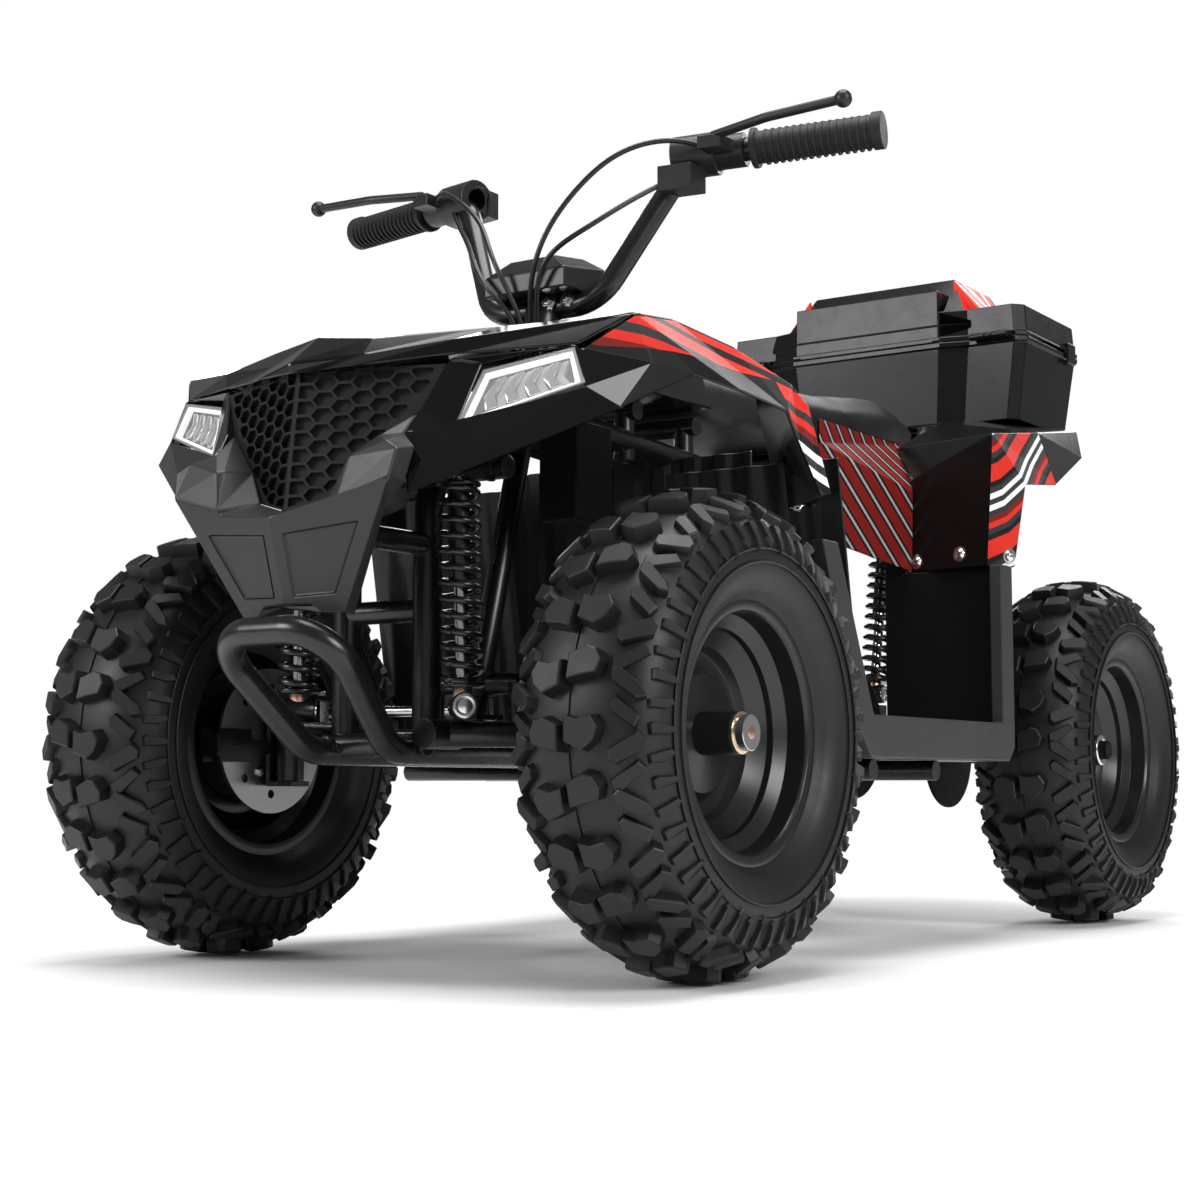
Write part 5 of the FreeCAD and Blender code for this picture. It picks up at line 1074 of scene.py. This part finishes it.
def coil_of_wire(add, given):
    """A helix along Z swept with a round wire."""
    radius = given["Radius"]
    line = add("GeometryNodeCurveSpiral", Resolution=28, Rotations=given["Turns"], Start_Radius=radius,
               End_Radius=radius, Height=given["Height"], Reverse=False)["Curve"]
    wire = add("GeometryNodeCurvePrimitiveCircle", Resolution=12, Radius=given["Wire"])["Curve"]
    return add("GeometryNodeCurveToMesh", Curve=line, Profile_Curve=wire, Fill_Caps=True)["Mesh"]


coil_tree = repeat_tree("coil_of_wire", coil_of_wire, Turns="Float", Radius="Float", Height="Float",
                        Wire="Float")


def shock_parts(foot, head):
    """Meshes of one shock absorber by finish, drawn along Z and then laid from its foot to its head."""
    length = (head - foot).length / mm
    low, high = SEAT_MARGIN, length - SEAT_MARGIN
    run = high - low - 10
    coil = grown(coil_tree, bpy.data.meshes.new("empty"), finishes["spring_black"], Turns=run / COIL_PITCH,
                 Radius=15.7 * mm, Height=run * mm, Wire=3.2 * mm)
    coil.transform(Matrix.Translation((0, 0, (low + 5) * mm)))
    foot_seat = turned([(radius, low + rise) for radius, rise in SPRING_SEAT], 36, 0.4)
    head_seat = turned([(radius, high - rise) for radius, rise in SPRING_SEAT[::-1]], 36, 0.4)
    half = length * 0.5
    tube = turned([(0, half), (9, half), (9.4, half + 2), (9.4, high), (0, high)], 32)
    rod = turned([(0, 0), (6, 0), (6, length), (0, length)], 32)
    cup = turned([(0, 8), (8.5, 8), (8.5, 15), (0, 15)], 28, 0.6)
    cross = Matrix.Rotation(math.pi / 2, 4, "Y")
    to_head = Matrix.Translation((0, 0, length * mm))
    eye = placed(turned([(5.5, -13), (11.6, -13), (11.6, 13), (5.5, 13)], 32, 0.8), cross)
    bush = placed(turned([(0, -14.5), (6.8, -14.5), (6.8, 14.5), (0, 14.5)], 24, 0.8), cross)
    washers = [placed(turned([(6.6, end), (10.4, end), (10.4, end + 2), (6.6, end + 2)], 32, 0.4), cross)
               for end in (-15.4, 13.4)]
    turn = (head - foot).to_track_quat("Z", "Y").to_matrix().to_4x4()
    groups = {"springs": (coil, foot_seat, head_seat, tube, eye, placed(eye, to_head)), "rods": (rod,),
              "bushes": (bush, placed(bush, to_head), *washers), "cups": (cup,)}
    return {kind: placed(joined(*parts), Matrix.Translation(foot) @ turn) for kind, parts in groups.items()}


def place_shocks(node, ends):
    """A CAD node's shock absorbers, one for each pair of a foot and a head, as four pieces."""
    shocks = [shock_parts(from_axle(foot), from_axle(head)) for foot, head in ends]
    for kind, (slot, material) in SHOCK_LOOKS.items():
        mesh = joined(*(shock[kind] for shock in shocks))
        piece = finished(f"{node}_{kind}", mesh, "chassis", slot, material)
        if kind == "springs":
            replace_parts(piece, node)
    print(node, "shock absorbers", len(shocks))


place_shocks("front_shocks", [((side * 92, -95, 226), (side * 88, -99, 430)) for side in (1, -1)])
place_shocks("rear_shock", [((0, 862, 275), (0, 900, 480))])

# %% [markdown]
# The raised middle of the luggage box's lid ends in two sloping flanks that carry the same striped
# film. Each flank is a wedge on the lid's shoulder.

# %% Lid flanks
FLANK_CORNERS = [(102, 796), (140, 748), (98, 742)]
FLANK_ENDS = (464, 526)


def lid_flank(side):
    """Wedge on one side of the lid, from its front to its back end."""
    form = bmesh.new()
    prism(form, [[Vector((side * x, y, z)) * mm for x, z in FLANK_CORNERS] for y in FLANK_ENDS])
    return flattened(mesh_of(form, "flank", closed=True), rounding(1.2, 30))


finished("lid_flanks", joined(lid_flank(1), lid_flank(-1)), "lid", "box_black", patterns["lid"])
print("lid flanks", FLANK_CORNERS)

# %% [markdown]
# Six small nuts hold each front brake disc. A ray from the bike's middle finds the disc's inner face.

# %% Disc nuts
DISC_NUT_CIRCLE = 0.034
DISC_NUT_SCALE = 0.62
small_nut = placed(nut_head, Matrix.Scale(DISC_NUT_SCALE, 4))
for side_name, side in sides_of_bike:
    disc_tree = search_tree([nodes["front_brake_disc_" + side_name].data])
    spots = []
    for y, z in ring_of(6, DISC_NUT_CIRCLE):
        start = Vector((0, front_axle_y + y, axle_height + z))
        spots.append(disc_tree.ray_cast(start, Vector((side, 0, 0)))[:2])
    wheel = "front_wheel_" + side_name
    scattered("disc_nuts_" + side_name, spots, small_nut, wheel, "bright_steel", chrome)

# %% [markdown]
# The grips are soft rubber sleeves with raised rings that the fingers hold, and a wide flange at each
# end. One ring is spun and put on points along the handlebar.

# %% Grip rings
GRIP_WAY = (0.9733, 0.2286, 0.0216)
GRIP_TIP = (316, 244, 770)
GRIP_RINGS = 15
FIRST_RING = 10
RING_STEP = 7
ring = turned([(15.0, -1.5), (16.9, -1.1), (17.1, 0), (16.9, 1.1), (15.0, 1.5)], 32)
spots = []
for side in (1, -1):
    way, tip = (Vector((side * x, y, z)) for x, y, z in (GRIP_WAY, GRIP_TIP))
    for number in range(GRIP_RINGS):
        spots.append((from_axle(tip - way * (FIRST_RING + number * RING_STEP)), way))
scattered("grip_rings", spots, ring, "steering", "grip_rubber")

# %% [markdown]
# The seat is foam under black vinyl. The solid from CAD gives its place, and a cloth simulation gives
# its crown: the skin is remeshed, blown up a little from inside, and held to a few millimetres of its
# start, so that the flat faces swell and the edges stay.

# %% Seat
SEAT_SWELL = 5.0
SEAT_VOXEL = 6.0
CLOTH_FRAMES = 20


def swollen(mesh, cap):
    """The mesh after a short cloth simulation with pressure, with each point held near its start."""
    soft = linked("soft", mesh)
    cloth = soft.modifiers.new("cloth", "CLOTH")
    cloth.settings.use_pressure = True
    cloth.settings.uniform_pressure_force = 4
    cloth.settings.effector_weights.gravity = 0
    for number in range(1, CLOTH_FRAMES + 1):
        bpy.context.scene.frame_set(number)
    blown = baked(soft)
    for start, end in zip(mesh.vertices, blown.vertices):
        step = end.co - start.co
        if step.length > cap:
            end.co = start.co + step.normalized() * cap
    bpy.context.scene.frame_set(1)
    return blown


def seat_cover():
    """The seat's solid, a little smaller, remeshed, blown up and smoothed."""
    mesh = merged("seat")
    low, high = (Vector(corner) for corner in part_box("seat"))
    middle = (low + high) / 2
    shrink = Vector([1 - 2 * SEAT_SWELL * mm / (high[axis] - low[axis]) for axis in range(3)])
    to_middle = Matrix.Translation(-middle)
    mesh.transform(to_middle.inverted() @ Matrix.Diagonal(shrink).to_4x4() @ to_middle)
    mesh = flattened(mesh, ("REMESH", {"mode": "VOXEL", "voxel_size": SEAT_VOXEL * mm}),
                     ("SMOOTH", {"factor": 0.5, "iterations": 6}))
    mesh = swollen(mesh, SEAT_SWELL * mm)
    return flattened(mesh, ("SMOOTH", {"factor": 0.5, "iterations": 4}), FINER)


seat_piece = finished("seat_cover", seat_cover(), "chassis", "seat_vinyl", smooth=180)
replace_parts(seat_piece, "seat")
print("seat faces", len(seat_piece.data.polygons))
